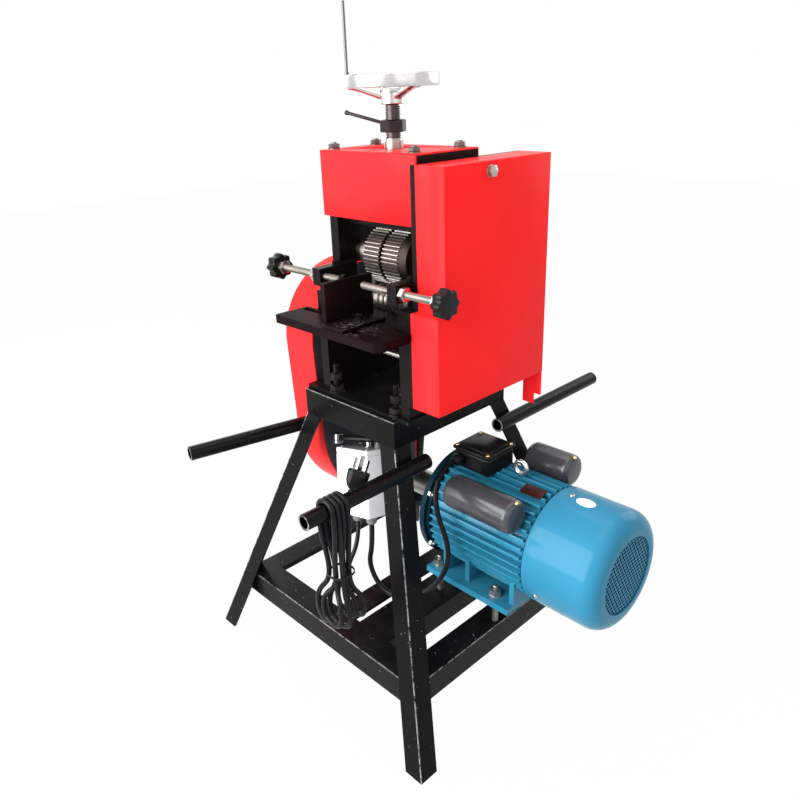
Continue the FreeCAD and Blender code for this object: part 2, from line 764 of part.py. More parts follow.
input_gear = gear_solid(gear_module, pinion_teeth, to_lay, input_at, plane_two, plane_two + gear_wide,
                        size.input_dia - 0.02)
lay_gears = gear_solid(gear_module, lay_teeth, lay_phase, lay_at, plane_two, plane_two + gear_wide,
                       lay_dia + 0.1)
lay_gears = lay_gears.fuse(gear_solid(gear_module, pinion_teeth, to_roller, lay_at,
                                      plane_two + gear_wide, plane_three + gear_wide, lay_dia + 0.1))
keep("lay_gears", feature("lay_gears", lay_gears.removeSplitter()))
lay_axle = rod("lay_axle", "x", lay_at, right_outer, shaft_out, lay_dia)
keep("gear_case_plate", group("gear_case_plate", [case_plate, lay_axle]))

lower_gears = gear_solid(feed_module, lower_teeth, up, lower_at, plane_one, plane_one + gear_wide,
                         size.shaft_dia)
lower_gears = lower_gears.fuse(hub(lower_at, plane_one + gear_wide, plane_three, size.shaft_dia + 2,
                                   size.shaft_dia))
lower_gears = lower_gears.fuse(gear_solid(gear_module, roller_teeth, roller_phase, lower_at, plane_three,
                                          plane_three + gear_wide, size.shaft_dia))
keep("lower_roller_gears", feature("lower_roller_gears", lower_gears.removeSplitter()))
keep("upper_roller_gear", feature("upper_roller_gear", gear_solid(
    feed_module, upper_teeth, -up + math.pi / upper_teeth, upper_at, plane_one, plane_one + gear_wide,
    size.shaft_dia)))

tooth_count = 44
tooth_deep = 2.5
groove_wide = 6.0
upper_r = size.upper_dia / 2
lower_r = lower_dia / 2
chamfer = 6.0
upper = turned("upper_roller", "x", [
    (size.left_plate_x - 4, 0.0), (plane_one + gear_wide + 2, 0.0), (plane_one + gear_wide + 2, half_shaft),
    (size.roller_right + chamfer + 2, half_shaft), (size.roller_right + chamfer + 2, upper_r - chamfer - tooth_deep),
    (size.roller_right, upper_r - tooth_deep),
    (roller_centre + groove_wide / 2, upper_r - tooth_deep),
    (roller_centre + groove_wide / 2, upper_r - 3 * tooth_deep),
    (roller_centre - groove_wide / 2, upper_r - 3 * tooth_deep),
    (roller_centre - groove_wide / 2, upper_r - tooth_deep),
    (size.roller_left, upper_r - tooth_deep), (size.roller_left, half_shaft + 6),
    (size.roller_left - 30, half_shaft + 6), (size.roller_left - 30, half_shaft),
    (size.left_plate_x - 4, half_shaft)], (size.roller_y, upper_z))


def knurl(label, low, high, dia, count, deep):
    """Feed teeth round a roller: ridges along X, worked out by a loop."""
    ridge = []
    r = float(dia) / 2
    for i in range(count):
        for offset, radius in ((-0.30, r - deep), (-0.12, r), (0.12, r), (0.30, r - deep)):
            angle = 2 * math.pi * (i + offset) / count
            ridge.append(FreeCAD.Vector(float(low), radius * math.cos(angle), radius * math.sin(angle)))
    face = Part.Face(Part.makePolygon(ridge + ridge[:1]))
    core = Part.Face(Part.Wire(Part.makeCircle((r - deep) * 0.8, FreeCAD.Vector(float(low), 0, 0), AXES["x"])))
    ring_solid = face.cut(core).extrude(FreeCAD.Vector(float(high) - float(low), 0, 0))
    return feature(label, ring_solid)


left_ring = knurl("feed_ring", size.roller_left, roller_centre - groove_wide / 2, size.upper_dia,
                  tooth_count, float(tooth_deep))
right_ring = knurl("feed_ring", roller_centre + groove_wide / 2, size.roller_right, size.upper_dia,
                   tooth_count, float(tooth_deep))
for ring_part in (left_ring, right_ring):
    ring_part.Placement.Base = FreeCAD.Vector(0, upper_at[0], upper_at[1])
keep("upper_roller", fuse("upper_roller", [upper, left_ring, right_ring]))

ring_count = 7
ring_pitch = (size.roller_right - size.roller_left) / ring_count
ring_deep = 6.0
outline = [(size.left_plate_x - 4, 0.0), (shaft_out, 0.0), (shaft_out, half_shaft),
           (size.roller_right, half_shaft), (size.roller_right, lower_r)]
for i in range(ring_count - 1):
    valley = size.roller_right - ring_pitch * (i + 1)
    outline += [(valley + 2.5, lower_r), (valley, lower_r - ring_deep), (valley - 2.5, lower_r)]
outline += [(size.roller_left, lower_r), (size.roller_left, half_shaft), (size.left_plate_x - 4, half_shaft)]
keep("lower_roller", turned("lower_roller", "x", outline, (size.roller_y, size.lower_z)))

block_bore = size.shaft_dia + 2 * size.fit_gap
slide_gap = size.free_gap
upper_low = upper_z - half_block + 6
bar_lift = 2.0
upper_high = upper_z + size.upper_dia / 2 + bar_lift


def bearing_blocks(label, centre_z, low, high, gap):
    """Two blocks that sit in the side plates' slots."""
    blocks = []
    for a, b in ((size.left_plate_x, left_inner), (size.right_plate_x, right_outer)):
        blocks.append(plate("bearing", "x", a, b, [
            (slot_front + gap, low), (slot_rear - gap, low), (slot_rear - gap, high), (slot_front + gap, high)],
            [(size.roller_y, centre_z, block_bore)]))
    keep(label, group(label, blocks))


bearing_blocks("lower_bearings", size.lower_z, slot_low, size.lower_z + half_block - 2, 0.0)
bearing_blocks("sliding_bearings", upper_z, upper_low, upper_high, slide_gap)

bar_low = upper_high
bar_high = bar_low + 12
bar_in = size.sheet_wall + 1
bar = plate("pressure_bar", "z", bar_low, bar_high, [
    (size.left_plate_x + bar_in, slot_front + slide_gap), (right_outer - bar_in, slot_front + slide_gap),
    (right_outer - bar_in, slot_rear - slide_gap), (size.left_plate_x + bar_in, slot_rear - slide_gap)])
keep("pressure_bar", bar)

spindle_at = (size.spindle_x, size.roller_y)
spindle_top = wheel_z + 8
hub_low = wheel_z - 28
spindle_r = size.spindle_dia / 2
collar_high = 8.0
keep("spindle", turned("spindle", "z", [
    (bar_high + 0.3, 0.0), (spindle_top, 0.0), (spindle_top, spindle_r - 4), (hub_low, spindle_r - 4),
    (hub_low, spindle_r), (bar_high + 0.3 + collar_high, spindle_r),
    (bar_high + 0.3 + collar_high, spindle_r + 5), (bar_high + 0.3, spindle_r + 5)], spindle_at))
nut_r = nut_dia / 2
nut_high = sheet_top + 13
keep("spindle_nut", turned("spindle_nut", "z", [
    (cover_top, spindle_r + 0.06), (cover_top, nut_r), (nut_high - 3, nut_r), (nut_high, nut_r - 1.5),
    (nut_high, spindle_r + 0.06)], spindle_at))

lock_half = 7.5
lock = prism("lock", "z", spindle_at, lock_z - lock_half, lock_z + lock_half, 30.0)
lock_hole = rod("lock_hole", "z", spindle_at, lock_z - lock_half - 1, lock_z + lock_half + 1,
                size.spindle_dia + 0.12)
lever_rod = rod("lock_rod", "z", (0.0, 0.0), 13.0, 92.0, 4.5)
lever_bulb = doc.addObject("Part::Sphere", fresh("lock_bulb"))
lever_bulb.Radius = 3.2
move(lever_bulb, 0.0, 0.0, 92.0)
lever = fuse("lock_lever", [lever_rod, lever_bulb])
lever.Placement.Rotation = FreeCAD.Rotation(AXES["y"], -80.0)
move(lever, size.spindle_x, size.roller_y, lock_z)
keep("lock_nut", fuse("lock_nut", [cut("lock_nut", lock, [lock_hole]), lever]))

rim = size.wheel_rim / 2
wheel_r = size.wheel_dia / 2
hub_r = 16.0
band = 8.0
web_high = hub_low + 9
keep("handwheel", turned("handwheel", "z", [
    (hub_low, spindle_r - 4), (hub_low, hub_r), (web_high - 2, hub_r + 2),
    (wheel_z - rim, wheel_r - band), (wheel_z - rim, wheel_r - 1), (wheel_z - rim + 1, wheel_r),
    (wheel_z + rim - 2, wheel_r), (wheel_z + rim, wheel_r - 2), (wheel_z + rim, wheel_r - band),
    (wheel_z - rim + 6, wheel_r - band), (web_high + 6, hub_r + 2), (wheel_z - 8, hub_r - 1),
    (wheel_z - 8, spindle_r - 4)], spindle_at))

crank_reach = wheel_r - band / 2
crank_heading = math.radians(220.0)
crank_x = size.spindle_x + crank_reach * math.cos(crank_heading)
crank_y = size.roller_y + crank_reach * math.sin(crank_heading)
crank_low = wheel_z + rim
keep("crank_rod", turned("crank_rod", "z", [
    (crank_low, 0.0), (crank_low, size.crank_dia / 2 + 1), (crank_low + 3, size.crank_dia / 2 + 1),
    (crank_low + 3, size.crank_dia / 2), (crank_low + size.crank_high - 1, size.crank_dia / 2),
    (crank_low + size.crank_high, size.crank_dia / 2 - 1), (crank_low + size.crank_high, 0.0)],
    (crank_x, crank_y)))

# Feed table, fence and guide screws

table_low = table_top - size.table_thick
corner_cut = 7.0
clamp_x = size.fence_x + 22
clamp_y = -114.0
clamp_dia = 8.0
fence_play = 13.0
table = plate("table", "z", table_low, table_top, [
    (size.table_left, -size.table_front), (size.table_right - corner_cut, -size.table_front),
    (size.table_right, -size.table_front + corner_cut), (size.table_right, -size.table_wing),
    (size.right_plate_x, -size.table_wing), (size.right_plate_x, size.roller_y - lower_r - 6),
    (left_inner, size.roller_y - lower_r - 6), (left_inner, -size.table_wing),
    (size.table_left, -size.table_wing)], windows=[
        [(-78.0, -124.0), (-36.0, -124.0), (-36.0, -115.0), (-78.0, -115.0)],
        [(54.0, -152.0), (104.0, -152.0), (104.0, -141.0), (54.0, -141.0)],
        [(clamp_x - clamp_dia / 2 - fence_play, clamp_y - clamp_dia / 2 - 1),
         (clamp_x + clamp_dia / 2 + fence_play, clamp_y - clamp_dia / 2 - 1),
         (clamp_x + clamp_dia / 2 + fence_play, clamp_y + clamp_dia / 2 + 1),
         (clamp_x - clamp_dia / 2 - fence_play, clamp_y + clamp_dia / 2 + 1)]])
keep("feed_table", table)

fence_low = table_top + size.free_gap
fence_top = table_top + size.fence_high
fence_right = size.fence_x + size.fence_thick
fence_front = -size.table_front + 8
fence = plate("fence", "x", size.fence_x, fence_right, [
    (fence_front, fence_low), (size.roller_y - upper_r - 4, fence_low),
    (size.roller_y - upper_r - 4, fence_top), (fence_front, fence_top)])
screw_r = size.screw_dia / 2
boss = rod("boss", "x", (size.screw_y, screw_z), size.fence_x - 8, size.fence_x, 18.0)
foot_high = fence_low + 5
fence_foot = block("fence_foot", (fence_right, fence_right + 41), (-164.0, -88.0), (fence_low, foot_high))
clamp_at = (clamp_x, clamp_y)
clamp = fuse("clamp_bolt", [
    rod("clamp_washer", "z", clamp_at, foot_high, foot_high + 1.6, 17.0),
    prism("clamp_head", "z", clamp_at, foot_high + 1.6, foot_high + 7.6, 13.0),
    rod("clamp_stem", "z", clamp_at, table_low - 10, foot_high, clamp_dia),
    prism("clamp_nut", "z", clamp_at, table_low - 7, table_low - size.free_gap, 13.0)])
keep("fence_plate", fuse("fence", [fence, boss, fence_foot, clamp]))

screw_bore = size.screw_dia + 2 * size.fit_gap
lug_half = 12.0
lug_front = size.screw_y - 10
lug_wide = 16.0
lugs = []
for lug_x, lug_rear in ((left_inner, -55.0), (size.right_plate_x, -size.head_front)):
    lugs.append(plate("lug", "x", lug_x, lug_x + lug_wide, [
        (lug_front, screw_z - lug_half), (lug_rear, screw_z - lug_half),
        (lug_rear, screw_z + lug_half), (lug_front, screw_z + lug_half)],
        [(size.screw_y, screw_z, screw_bore)]))
    lugs.append(prism("lug_bolt", "z", (lug_x + lug_wide / 2, -size.head_front - 14), screw_z + lug_half,
                      screw_z + lug_half + 5, 10.0))
keep("guide_lugs", group("guide_lugs", lugs))

tie_rod_dia = 9.0
keep("tie_rod", rod("tie_rod", "x", (-88.0, size.lower_z - 53), left_inner, size.right_plate_x, tie_rod_dia))


def star_knob(name, low, high, dia, lobes):
    """A hand knob with rounded lobes, about X."""
    r = float(dia) / 2
    lobe = r * math.sin(math.pi / lobes) * 0.8
    start = FreeCAD.Vector(float(low), 0, 0)
    deep = float(high) - float(low)
    knob = Part.makeCylinder(r - lobe, deep, start, AXES["x"])
    for i in range(lobes):
        angle = 2 * math.pi * i / lobes
        at = FreeCAD.Vector(float(low), (r - lobe) * math.cos(angle), (r - lobe) * math.sin(angle))
        knob = knob.fuse(Part.makeCylinder(lobe, deep, at, AXES["x"]))
    knob.translate(FreeCAD.Vector(0, float(size.screw_y), float(screw_z)))
    return feature(name, knob.removeSplitter())


def guide_screw(label, knob_low, knob_high, tip, lobes):
    """A threaded rod with its star knob and the jam nut against it."""
    inner, outer = (knob_high, tip) if float(tip) > float(knob_high) else (tip, knob_low)
    nut_from = knob_high if float(tip) > float(knob_high) else knob_low - 8
    shank = rod("screw", "x", (size.screw_y, screw_z), inner, outer, size.screw_dia)
    jam = prism("jam_nut", "x", (size.screw_y, screw_z), nut_from, nut_from + 8, 17.0)
    doc.recompute()
    knob = star_knob(label + "_knob", knob_low, knob_high, size.knob_dia, lobes)
    keep(label, fuse(label, [shank, jam, knob]))


guide_screw("guide_screw_left", -149.0, -133.0, size.fence_x - 8 - size.free_gap, 8)
guide_screw("guide_screw_right", 178.0, 194.0, fence_right + 25, 8)
lock_nuts = []
for nut_x in (left_inner - 9, size.right_plate_x + lug_wide + 1):
    lock_nuts.append(prism("guide_nut", "x", (size.screw_y, screw_z), nut_x, nut_x + 8, 17.0))
drill = rod("nut_bore", "x", (size.screw_y, screw_z), -200.0, 300.0, screw_bore)
guide_nuts = cut("guide_nuts", group("guide_nut_pair", lock_nuts), [drill])

# Belt drive

half_pulley = size.pulley_wide / 2
belt_deep = 9.0
belt_half = 6.5
driven_r = size.driven_dia / 2
drive_r = size.drive_dia / 2
motor_shaft_r = size.motor_shaft_dia / 2


def groove(r, bore, middle):
    """A V pulley's half outline: rim with its groove, thin web and boss."""
    return [(middle - half_pulley, bore), (middle - half_pulley, r), (middle - belt_half - 1, r),
            (middle - belt_half + 2.2, r - belt_deep - 2), (middle + belt_half - 2.2, r - belt_deep - 2),
            (middle + belt_half + 1, r), (middle + half_pulley, r), (middle + half_pulley, bore)]


driven = turned("driven", "x", groove(driven_r, half_input, size.belt_x), (size.input_y, size.input_z))
doc.recompute()
relief = turned("relief", "x", [
    (size.belt_x + 5, half_input + 14), (size.belt_x + half_pulley + 1, half_input + 14),
    (size.belt_x + half_pulley + 1, driven_r - 22), (size.belt_x + 5, driven_r - 22)],
    (size.input_y, size.input_z))
relief_back = turned("relief", "x", [
    (size.belt_x - half_pulley - 1, half_input + 14), (size.belt_x - 5, half_input + 14),
    (size.belt_x - 5, driven_r - 22), (size.belt_x - half_pulley - 1, driven_r - 22)],
    (size.input_y, size.input_z))
keep("driven_pulley", cut("driven_pulley", driven, [relief, relief_back]))
keep("motor_pulley", turned("motor_pulley", "x", groove(drive_r, motor_shaft_r, size.belt_x),
                            (size.motor_y, size.motor_z)))


def tangent_loop(first, first_r, second, second_r):
    """A closed loop in (y, z) round two circles: two arcs and two straight runs."""
    dy, dz = second[0] - first[0], second[1] - first[1]
    reach = math.hypot(dy, dz)
    heading = math.atan2(dz, dy)
    lean = math.acos((first_r - second_r) / reach)

    def on(centre, r, angle):
        return FreeCAD.Vector(0, centre[0] + r * math.cos(angle), centre[1] + r * math.sin(angle))
    a, b = heading + lean, heading - lean
    first_a, first_b = on(first, first_r, a), on(first, first_r, b)
    second_a, second_b = on(second, second_r, a), on(second, second_r, b)
    far = on(first, first_r, heading + math.pi)
    near = on(second, second_r, heading)
    edges = [Part.Arc(first_a, far, first_b).toShape(), Part.LineSegment(first_b, second_b).toShape(),
             Part.Arc(second_b, near, second_a).toShape(), Part.LineSegment(second_a, first_a).toShape()]
    return Part.Face(Part.Wire(edges))


motor_at = (float(size.motor_y), float(size.motor_z))
belt_gap = float(size.free_gap)
inner_big = float(driven_r) - belt_deep + belt_gap
inner_small = float(drive_r) - belt_deep + belt_gap
belt_face = tangent_loop(input_at, inner_big + belt_deep - 1, motor_at, inner_small + belt_deep - 1)
belt_face = belt_face.cut(tangent_loop(input_at, inner_big, motor_at, inner_small))
belt = belt_face.extrude(FreeCAD.Vector(2 * belt_half - 5.0, 0, 0))
belt.translate(FreeCAD.Vector(float(size.belt_x) - belt_half + 2.5, 0, 0))
keep("belt", feature("belt", belt))

input_left = size.belt_x - half_pulley - 8
input_shaft = rod("input_shaft", "x", (size.input_y, size.input_z), input_left, plane_two + gear_wide,
                  size.input_dia)
doc.recompute()
keep("input_shaft", fuse("input_shaft", [input_shaft, feature("input_gear", input_gear)]))


def guard_outline(inset_by):
    """The belt guard's side view, drawn in by a wall."""
    top = (float(size.guard_top_y), float(size.guard_top_z))
    low = (float(size.guard_low_y), float(size.guard_low_z))
    top_r = float(size.guard_top_r) - inset_by
    low_r = float(size.guard_low_r) - inset_by
    rear = float(size.guard_rear_y) - inset_by
    dy, dz = low[0] - top[0], low[1] - top[1]
    reach = math.hypot(dy, dz)
    heading = math.atan2(dz, dy)
    lean = math.acos((top_r - low_r) / reach)
    angle = heading - lean

    def on(centre, r, a):
        return FreeCAD.Vector(0, centre[0] + r * math.cos(a), centre[1] + r * math.sin(a))
    front_high = on(top, top_r, angle)
    front_low = on(low, low_r, angle)
    drop = -math.acos((rear - low[0]) / low_r)
    rear_low = on(low, low_r, drop)
    rear_high = on(top, top_r, 0.0)
    turn = (angle % (2 * math.pi) + drop % (2 * math.pi)) / 2
    crown = (angle % (2 * math.pi)) / 2
    edges = [Part.LineSegment(front_high, front_low).toShape(),
             Part.Arc(front_low, on(low, low_r, turn), rear_low).toShape(),
             Part.LineSegment(rear_low, rear_high).toShape(),
             Part.Arc(rear_high, on(top, top_r, crown), front_high).toShape()]
    return Part.Face(Part.Wire(edges))


guard_wall = float(size.sheet_wall)
guard_deep = float(size.guard_in - size.guard_out)
guard = guard_outline(0.0).extrude(FreeCAD.Vector(guard_deep, 0, 0))
hollow = guard_outline(guard_wall).extrude(FreeCAD.Vector(guard_deep, 0, 0))
hollow.translate(FreeCAD.Vector(guard_wall, 0, 0))
guard = guard.cut(hollow)
guard.translate(FreeCAD.Vector(float(size.guard_out), 0, 0))


leg_margin = 3.0
leg_room = leg_block(-1, 1, leg_margin).fuse(leg_block(-1, -1, leg_margin))
keep("belt_guard", feature("belt_guard", guard.cut(leg_room)))

back_thick = 3.0
back = guard_outline(guard_wall + float(size.free_gap)).extrude(FreeCAD.Vector(back_thick, 0, 0))
back.translate(FreeCAD.Vector(float(size.guard_in) - back_thick, 0, 0))
for at, bore in ((input_at, float(input_bore)), (motor_at, float(size.motor_shaft_dia) + 4)):
    back = back.cut(Part.makeCylinder(bore / 2, 40, FreeCAD.Vector(float(size.guard_in) - 20, at[0], at[1]),
                                      AXES["x"]))
keep("guard_back_plate", feature("guard_back_plate", back.cut(leg_room)))

flange_left = size.guard_in
flange_thick = 14.0
bearing_bodies = []
for at, shaft in ((input_at, size.input_dia), (motor_at, size.motor_shaft_dia)):
    high = flange_left + flange_thick
    bearing_bodies.append(turned("flange", "x", [
        (flange_left, shaft / 2 + size.fit_gap), (high, shaft / 2 + size.fit_gap), (high, shaft / 2 + 9),
        (flange_left + 6, shaft / 2 + 12), (flange_left + 6, 33.0), (flange_left, 33.0)], at))
bearing_right = turned("flange", "x", [
    (right_outer - 15, half_input + size.fit_gap), (right_outer - 1, half_input + size.fit_gap),
    (right_outer - 1, input_bore / 2 - 0.2), (right_outer - 15, input_bore / 2 - 0.2)], input_at)
keep("shaft_bearings", group("shaft_bearings", bearing_bodies + [bearing_right]))

# Motor

motor_line = (size.motor_y, size.motor_z)
coupling_left = size.motor_shaft_end - 34
extension_left = size.belt_x - half_pulley - 6
extension = rod("extension", "x", motor_line, extension_left, size.motor_shaft_end, size.motor_shaft_dia)
sleeve = turned("sleeve", "x", [
    (coupling_left, motor_shaft_r), (coupling_left + 68, motor_shaft_r), (coupling_left + 68, motor_shaft_r + 9),
    (coupling_left, motor_shaft_r + 9)], motor_line)
keep("drive_extension", fuse("drive_extension", [extension, sleeve]))

bore_r = 46.0
air_gap = 0.5
rotor_left = size.stator_left + 18
rotor_right = size.stator_right - 18
fan_left = size.stator_right + 20
fan_right = fan_left + 30
keep("motor_rotor", turned("rotor", "x", [
    (size.motor_shaft_end, 0.0), (fan_right + 8, 0.0), (fan_right + 8, motor_shaft_r - 2),
    (rotor_right, motor_shaft_r - 2), (rotor_right, bore_r - air_gap), (rotor_left, bore_r - air_gap),
    (rotor_left, motor_shaft_r), (size.motor_shaft_end, motor_shaft_r)], motor_line))

stator = turned("stator", "x", [
    (size.stator_left, bore_r), (size.stator_left, size.frame_r), (size.stator_right, size.frame_r),
    (size.stator_right, bore_r)], motor_line)
fin = stator.newObject("PartDesign::Pad", fresh("stator_fin"))
fin_sketch = sketch_on(stator, "YZ_Plane", size.stator_left + 4)
fin_half = 1.5
polygon(fin_sketch, [(-fin_half, size.frame_r - 2), (fin_half, size.frame_r - 2), (fin_half, size.fin_r),
                     (-fin_half, size.fin_r)])
fin.Profile = fin_sketch
bind(fin, "Length", size.stator_right - size.stator_left - 8)
stator.Tip = fin
fin_count = 40
pattern(stator, fin, "x", fin_count)

foot_top = size.foot_z + size.foot_thick
foot_left = size.hole_left - 12
foot_right = size.hole_left + size.hole_pitch + 36
half_span = size.hole_span / 2
foot_parts = []
holes = []
for sign in (-1, 1):
    inner_y = size.motor_y + sign * 34
    outer_y = size.motor_y + sign * (half_span + 18)
    low_y, high_y = (outer_y, inner_y) if sign < 0 else (inner_y, outer_y)
    foot_parts.append(block("foot", (foot_left, foot_right), (low_y, high_y), (size.foot_z, foot_top)))
    for web_x in (size.hole_left + 12, size.hole_left + size.hole_pitch / 2, foot_right - 8):
        foot_parts.append(plate("web", "x", web_x, web_x + 8, [
            (inner_y, foot_top - 1), (outer_y - sign * 14, foot_top - 1),
            (size.motor_y + sign * 74, size.motor_z - 20), (size.motor_y + sign * 60, size.motor_z - 30)]
            if sign > 0 else [
            (inner_y, foot_top - 1), (size.motor_y - 60, size.motor_z - 30),
            (size.motor_y - 74, size.motor_z - 20), (outer_y + 14, foot_top - 1)]))
    for hole_x in (size.hole_left, size.hole_left + size.hole_pitch):
        holes.append(rod("foot_hole", "z", (hole_x, size.motor_y + sign * half_span), size.foot_z - 1,
                         foot_top + 1, size.stud_dia + 1))
pad_front = block("box_pad", (85.0, 133.0), (38.0, 76.0), (size.motor_z + size.frame_r - 4, 321.0))
housing = fuse("housing", [stator] + foot_parts + [pad_front])
box_low = 321.0
cap_r = 25.0
cap_places = ((-22.0, 312.0, 112.0, 232.0), (132.0, 318.0, 142.0, 222.0))
holes.append(block("box_room", (74.0, 144.0), (23.0, 89.0), (box_low, box_low + 20)))
for cap_y, cap_z, cap_a, cap_b in cap_places:
    holes.append(rod("cap_room", "x", (cap_y, cap_z), cap_a - 1, cap_b + 1, 2 * (cap_r + size.free_gap)))
housing = cut("motor_housing", housing, holes)

shield_r = size.frame_r + 8
flange_r = size.fin_r + 4
cover_sheet = 1.5
drive_shield = turned("drive_shield", "x", [
    (size.shield_left, motor_shaft_r + size.fit_gap), (size.shield_left, 30.0), (size.shield_left + 14, 34.0),
    (size.shield_left + 22, 60.0), (size.stator_left - 14, 66.0), (size.stator_left - 14, flange_r),
    (size.stator_left - 5, flange_r), (size.stator_left - 5, shield_r), (size.stator_left, shield_r),
    (size.stator_left, bore_r), (size.stator_left - 4, bore_r - 4), (size.shield_left + 24, 26.0),
    (size.shield_left + 24, motor_shaft_r + size.fit_gap)], motor_line)
small_r = motor_shaft_r - 2
fan_shield = turned("fan_shield", "x", [
    (size.stator_right, bore_r), (size.stator_right, size.fan_cover_r - cover_sheet),
    (size.stator_right + 8, size.fan_cover_r - cover_sheet),
    (size.stator_right + 14, 40.0), (size.stator_right + 14, small_r + size.fit_gap),
    (size.stator_right + 2, small_r + size.fit_gap), (size.stator_right + 2, bore_r - 6)], motor_line)
keep("end_shields", group("end_shields", [drive_shield, fan_shield]))

fan_hub = turned("fan", "x", [
    (fan_left, small_r), (fan_left, 24.0), (fan_left + 3, 24.0), (fan_left + 6, 70.0), (fan_left + 9, 70.0),
    (fan_left + 8, 20.0), (fan_right, 18.0), (fan_right, small_r)], motor_line)
vane = fan_hub.newObject("PartDesign::Pad", fresh("fan_vane"))
vane_sketch = sketch_on(fan_hub, "YZ_Plane", fan_left + 4)
polygon(vane_sketch, [(-1.5, 19.0), (1.5, 19.0), (1.5, 70.0), (-1.5, 70.0)])
vane.Profile = vane_sketch
bind(vane, "Length", fan_right - fan_left - 6)
fan_hub.Tip = vane
pattern(fan_hub, vane, "x", 8)
keep("motor_fan", fan_hub)

rim_turn = 25.0
cover_r = size.fan_cover_r
bend = 1 - math.sqrt(0.5)
cowl = turned("cowl", "x", [
    (size.stator_right + 2, cover_r - cover_sheet), (size.stator_right + 2, cover_r),
    (size.fan_end - rim_turn, cover_r), (size.fan_end - rim_turn * bend, cover_r - rim_turn * bend),
    (size.fan_end, cover_r - rim_turn), (size.fan_end, 0.0), (size.fan_end - cover_sheet, 0.0),
    (size.fan_end - cover_sheet, cover_r - rim_turn),
    (size.fan_end - rim_turn * bend - cover_sheet, cover_r - rim_turn * bend - cover_sheet / 2),
    (size.fan_end - rim_turn, cover_r - cover_sheet)], motor_line)
doc.recompute()
hole_flats = 5.6
for ring_r, ring_holes in ((16.0, 10), (24.0, 16), (32.0, 22), (40.0, 28), (48.0, 34), (56.0, 40)):
    vent = cowl.newObject("PartDesign::Pocket", fresh("cowl_vent"))
    vent_sketch = sketch_on(cowl, "YZ_Plane", size.fan_end + 1)
    polygon(vent_sketch, [(ring_r + hole_flats / 2 * math.cos(math.pi * k / 3),
                           hole_flats / 2 * math.sin(math.pi * k / 3)) for k in range(6)])
    vent.Profile = vent_sketch
    vent.Length = cover_sheet + 2
    cowl.Tip = vent
    pattern(cowl, vent, "x", ring_holes)
keep("fan_cover", cowl)

term = plate("terminal_box", "z", box_low, 350.0, [
    (76.0, 25.0), (142.0, 25.0), (142.0, 87.0), (76.0, 87.0)])
dress(term, term.Tip, "Fillet", 5.0, along("z"))
lid = plate("terminal_lid", "z", 350.0, 356.0, [(74.0, 23.0), (144.0, 23.0), (144.0, 89.0), (74.0, 89.0)])
dress(lid, lid.Tip, "Fillet", 6.0, along("z"))
gland = turned("gland", "y", [
    (8.0, 4.3), (24.7, 4.3), (24.7, 10.0), (18.0, 10.0), (18.0, 8.5), (12.0, 8.5), (8.0, 6.5)], (88.0, 337.0))
keep("terminal_box", group("terminal_box", [term, lid, gland]))

caps = []
for cap_y, cap_z, cap_a, cap_b in cap_places:
    caps.append(turned("capacitor", "x", [
        (cap_a, 0.0), (cap_a, cap_r - 4), (cap_a + 4, cap_r), (cap_b - 4, cap_r), (cap_b, cap_r - 4),
        (cap_b, 0.0)], (cap_y, cap_z)))
keep("capacitor_covers", group("capacitor_covers", caps))

stud_set = []
stud_top = foot_top + 16
for stud_x, seat in ((size.hole_left, size.brace_top), (size.hole_left + size.hole_pitch, size.brace_top)):
    for sign in (-1, 1):
        at = (stud_x, size.motor_y + sign * half_span)
        stud_set.append(fuse("stud", [
            rod("stud", "z", at, seat, stud_top, size.stud_dia),
            prism("stud_nut", "z", at, size.foot_z - 8, size.foot_z, 17.0),
            prism("stud_nut", "z", at, foot_top, foot_top + 8, 17.0)]))
keep("motor_studs", group("motor_studs", stud_set))

eye_x = 178.0
eye_z = size.motor_z + size.fin_r + 14
eye_ring = doc.addObject("Part::Torus", fresh("eye"))
eye_ring.Radius1 = 10.0
eye_ring.Radius2 = 3.0
eye_ring.Placement.Rotation = UPRIGHT["y"]
move(eye_ring, eye_x, size.motor_y, eye_z)
eye_stem = rod("eye_stem", "z", (eye_x, size.motor_y), size.motor_z + size.fin_r, eye_z - 8, 9.0)
keep("motor_housing", group("motor_housing", [housing, fuse("lifting_eye", [eye_ring, eye_stem])]))

# Bolts of the head, the gear cover and the base

bolt_set = []
for at in ((-54.0, -66.0), (-52.0, 8.0), (97.0, -66.0), (97.0, 16.0)):
    bolt_set.append(fuse("bolt", [rod("washer", "z", at, sheet_top, sheet_top + 1.6, 17.0),
                                  prism("bolt", "z", at, sheet_top + 1.6, sheet_top + 7, 13.0)]))
for y, z in ((-10.0, gear_cover_high - 12),):
    bolt_set.append(fuse("bolt", [rod("washer", "x", (y, z), case_right, case_right + 1.6, 15.0),
                                  prism("bolt", "x", (y, z), case_right + 1.6, case_right + 7, 13.0)]))
for at, stud_high in (((-38.0, -103.0), 42.0), ((-82.0, 60.0), 20.0), ((87.0, -103.0), 42.0), ((87.0, 72.0), 20.0)):
    bolt_set.append(fuse("hold_down", [
        rod("washer", "z", at, base_top, base_top + 2, 18.0),
        prism("bolt", "z", at, base_top + 2, base_top + 10, 13.0),
        rod("bolt_end", "z", at, base_top + 10, base_top + stud_high, 8.0)]))
keep("frame_bolts", group("frame_bolts", bolt_set + [guide_nuts]))

# Reversing switch on its hanger

switch_x = -2.0
switch_y = -85.0
switch_z = 359.0
lean = FreeCAD.Rotation(FreeCAD.Vector(-1, -1, 0), float(size.switch_tilt))
lean_place = FreeCAD.Placement(FreeCAD.Vector(switch_x, switch_y, switch_z), lean)


def leaning(thing):
    thing.Placement = lean_place.multiply(thing.Placement)
    return thing


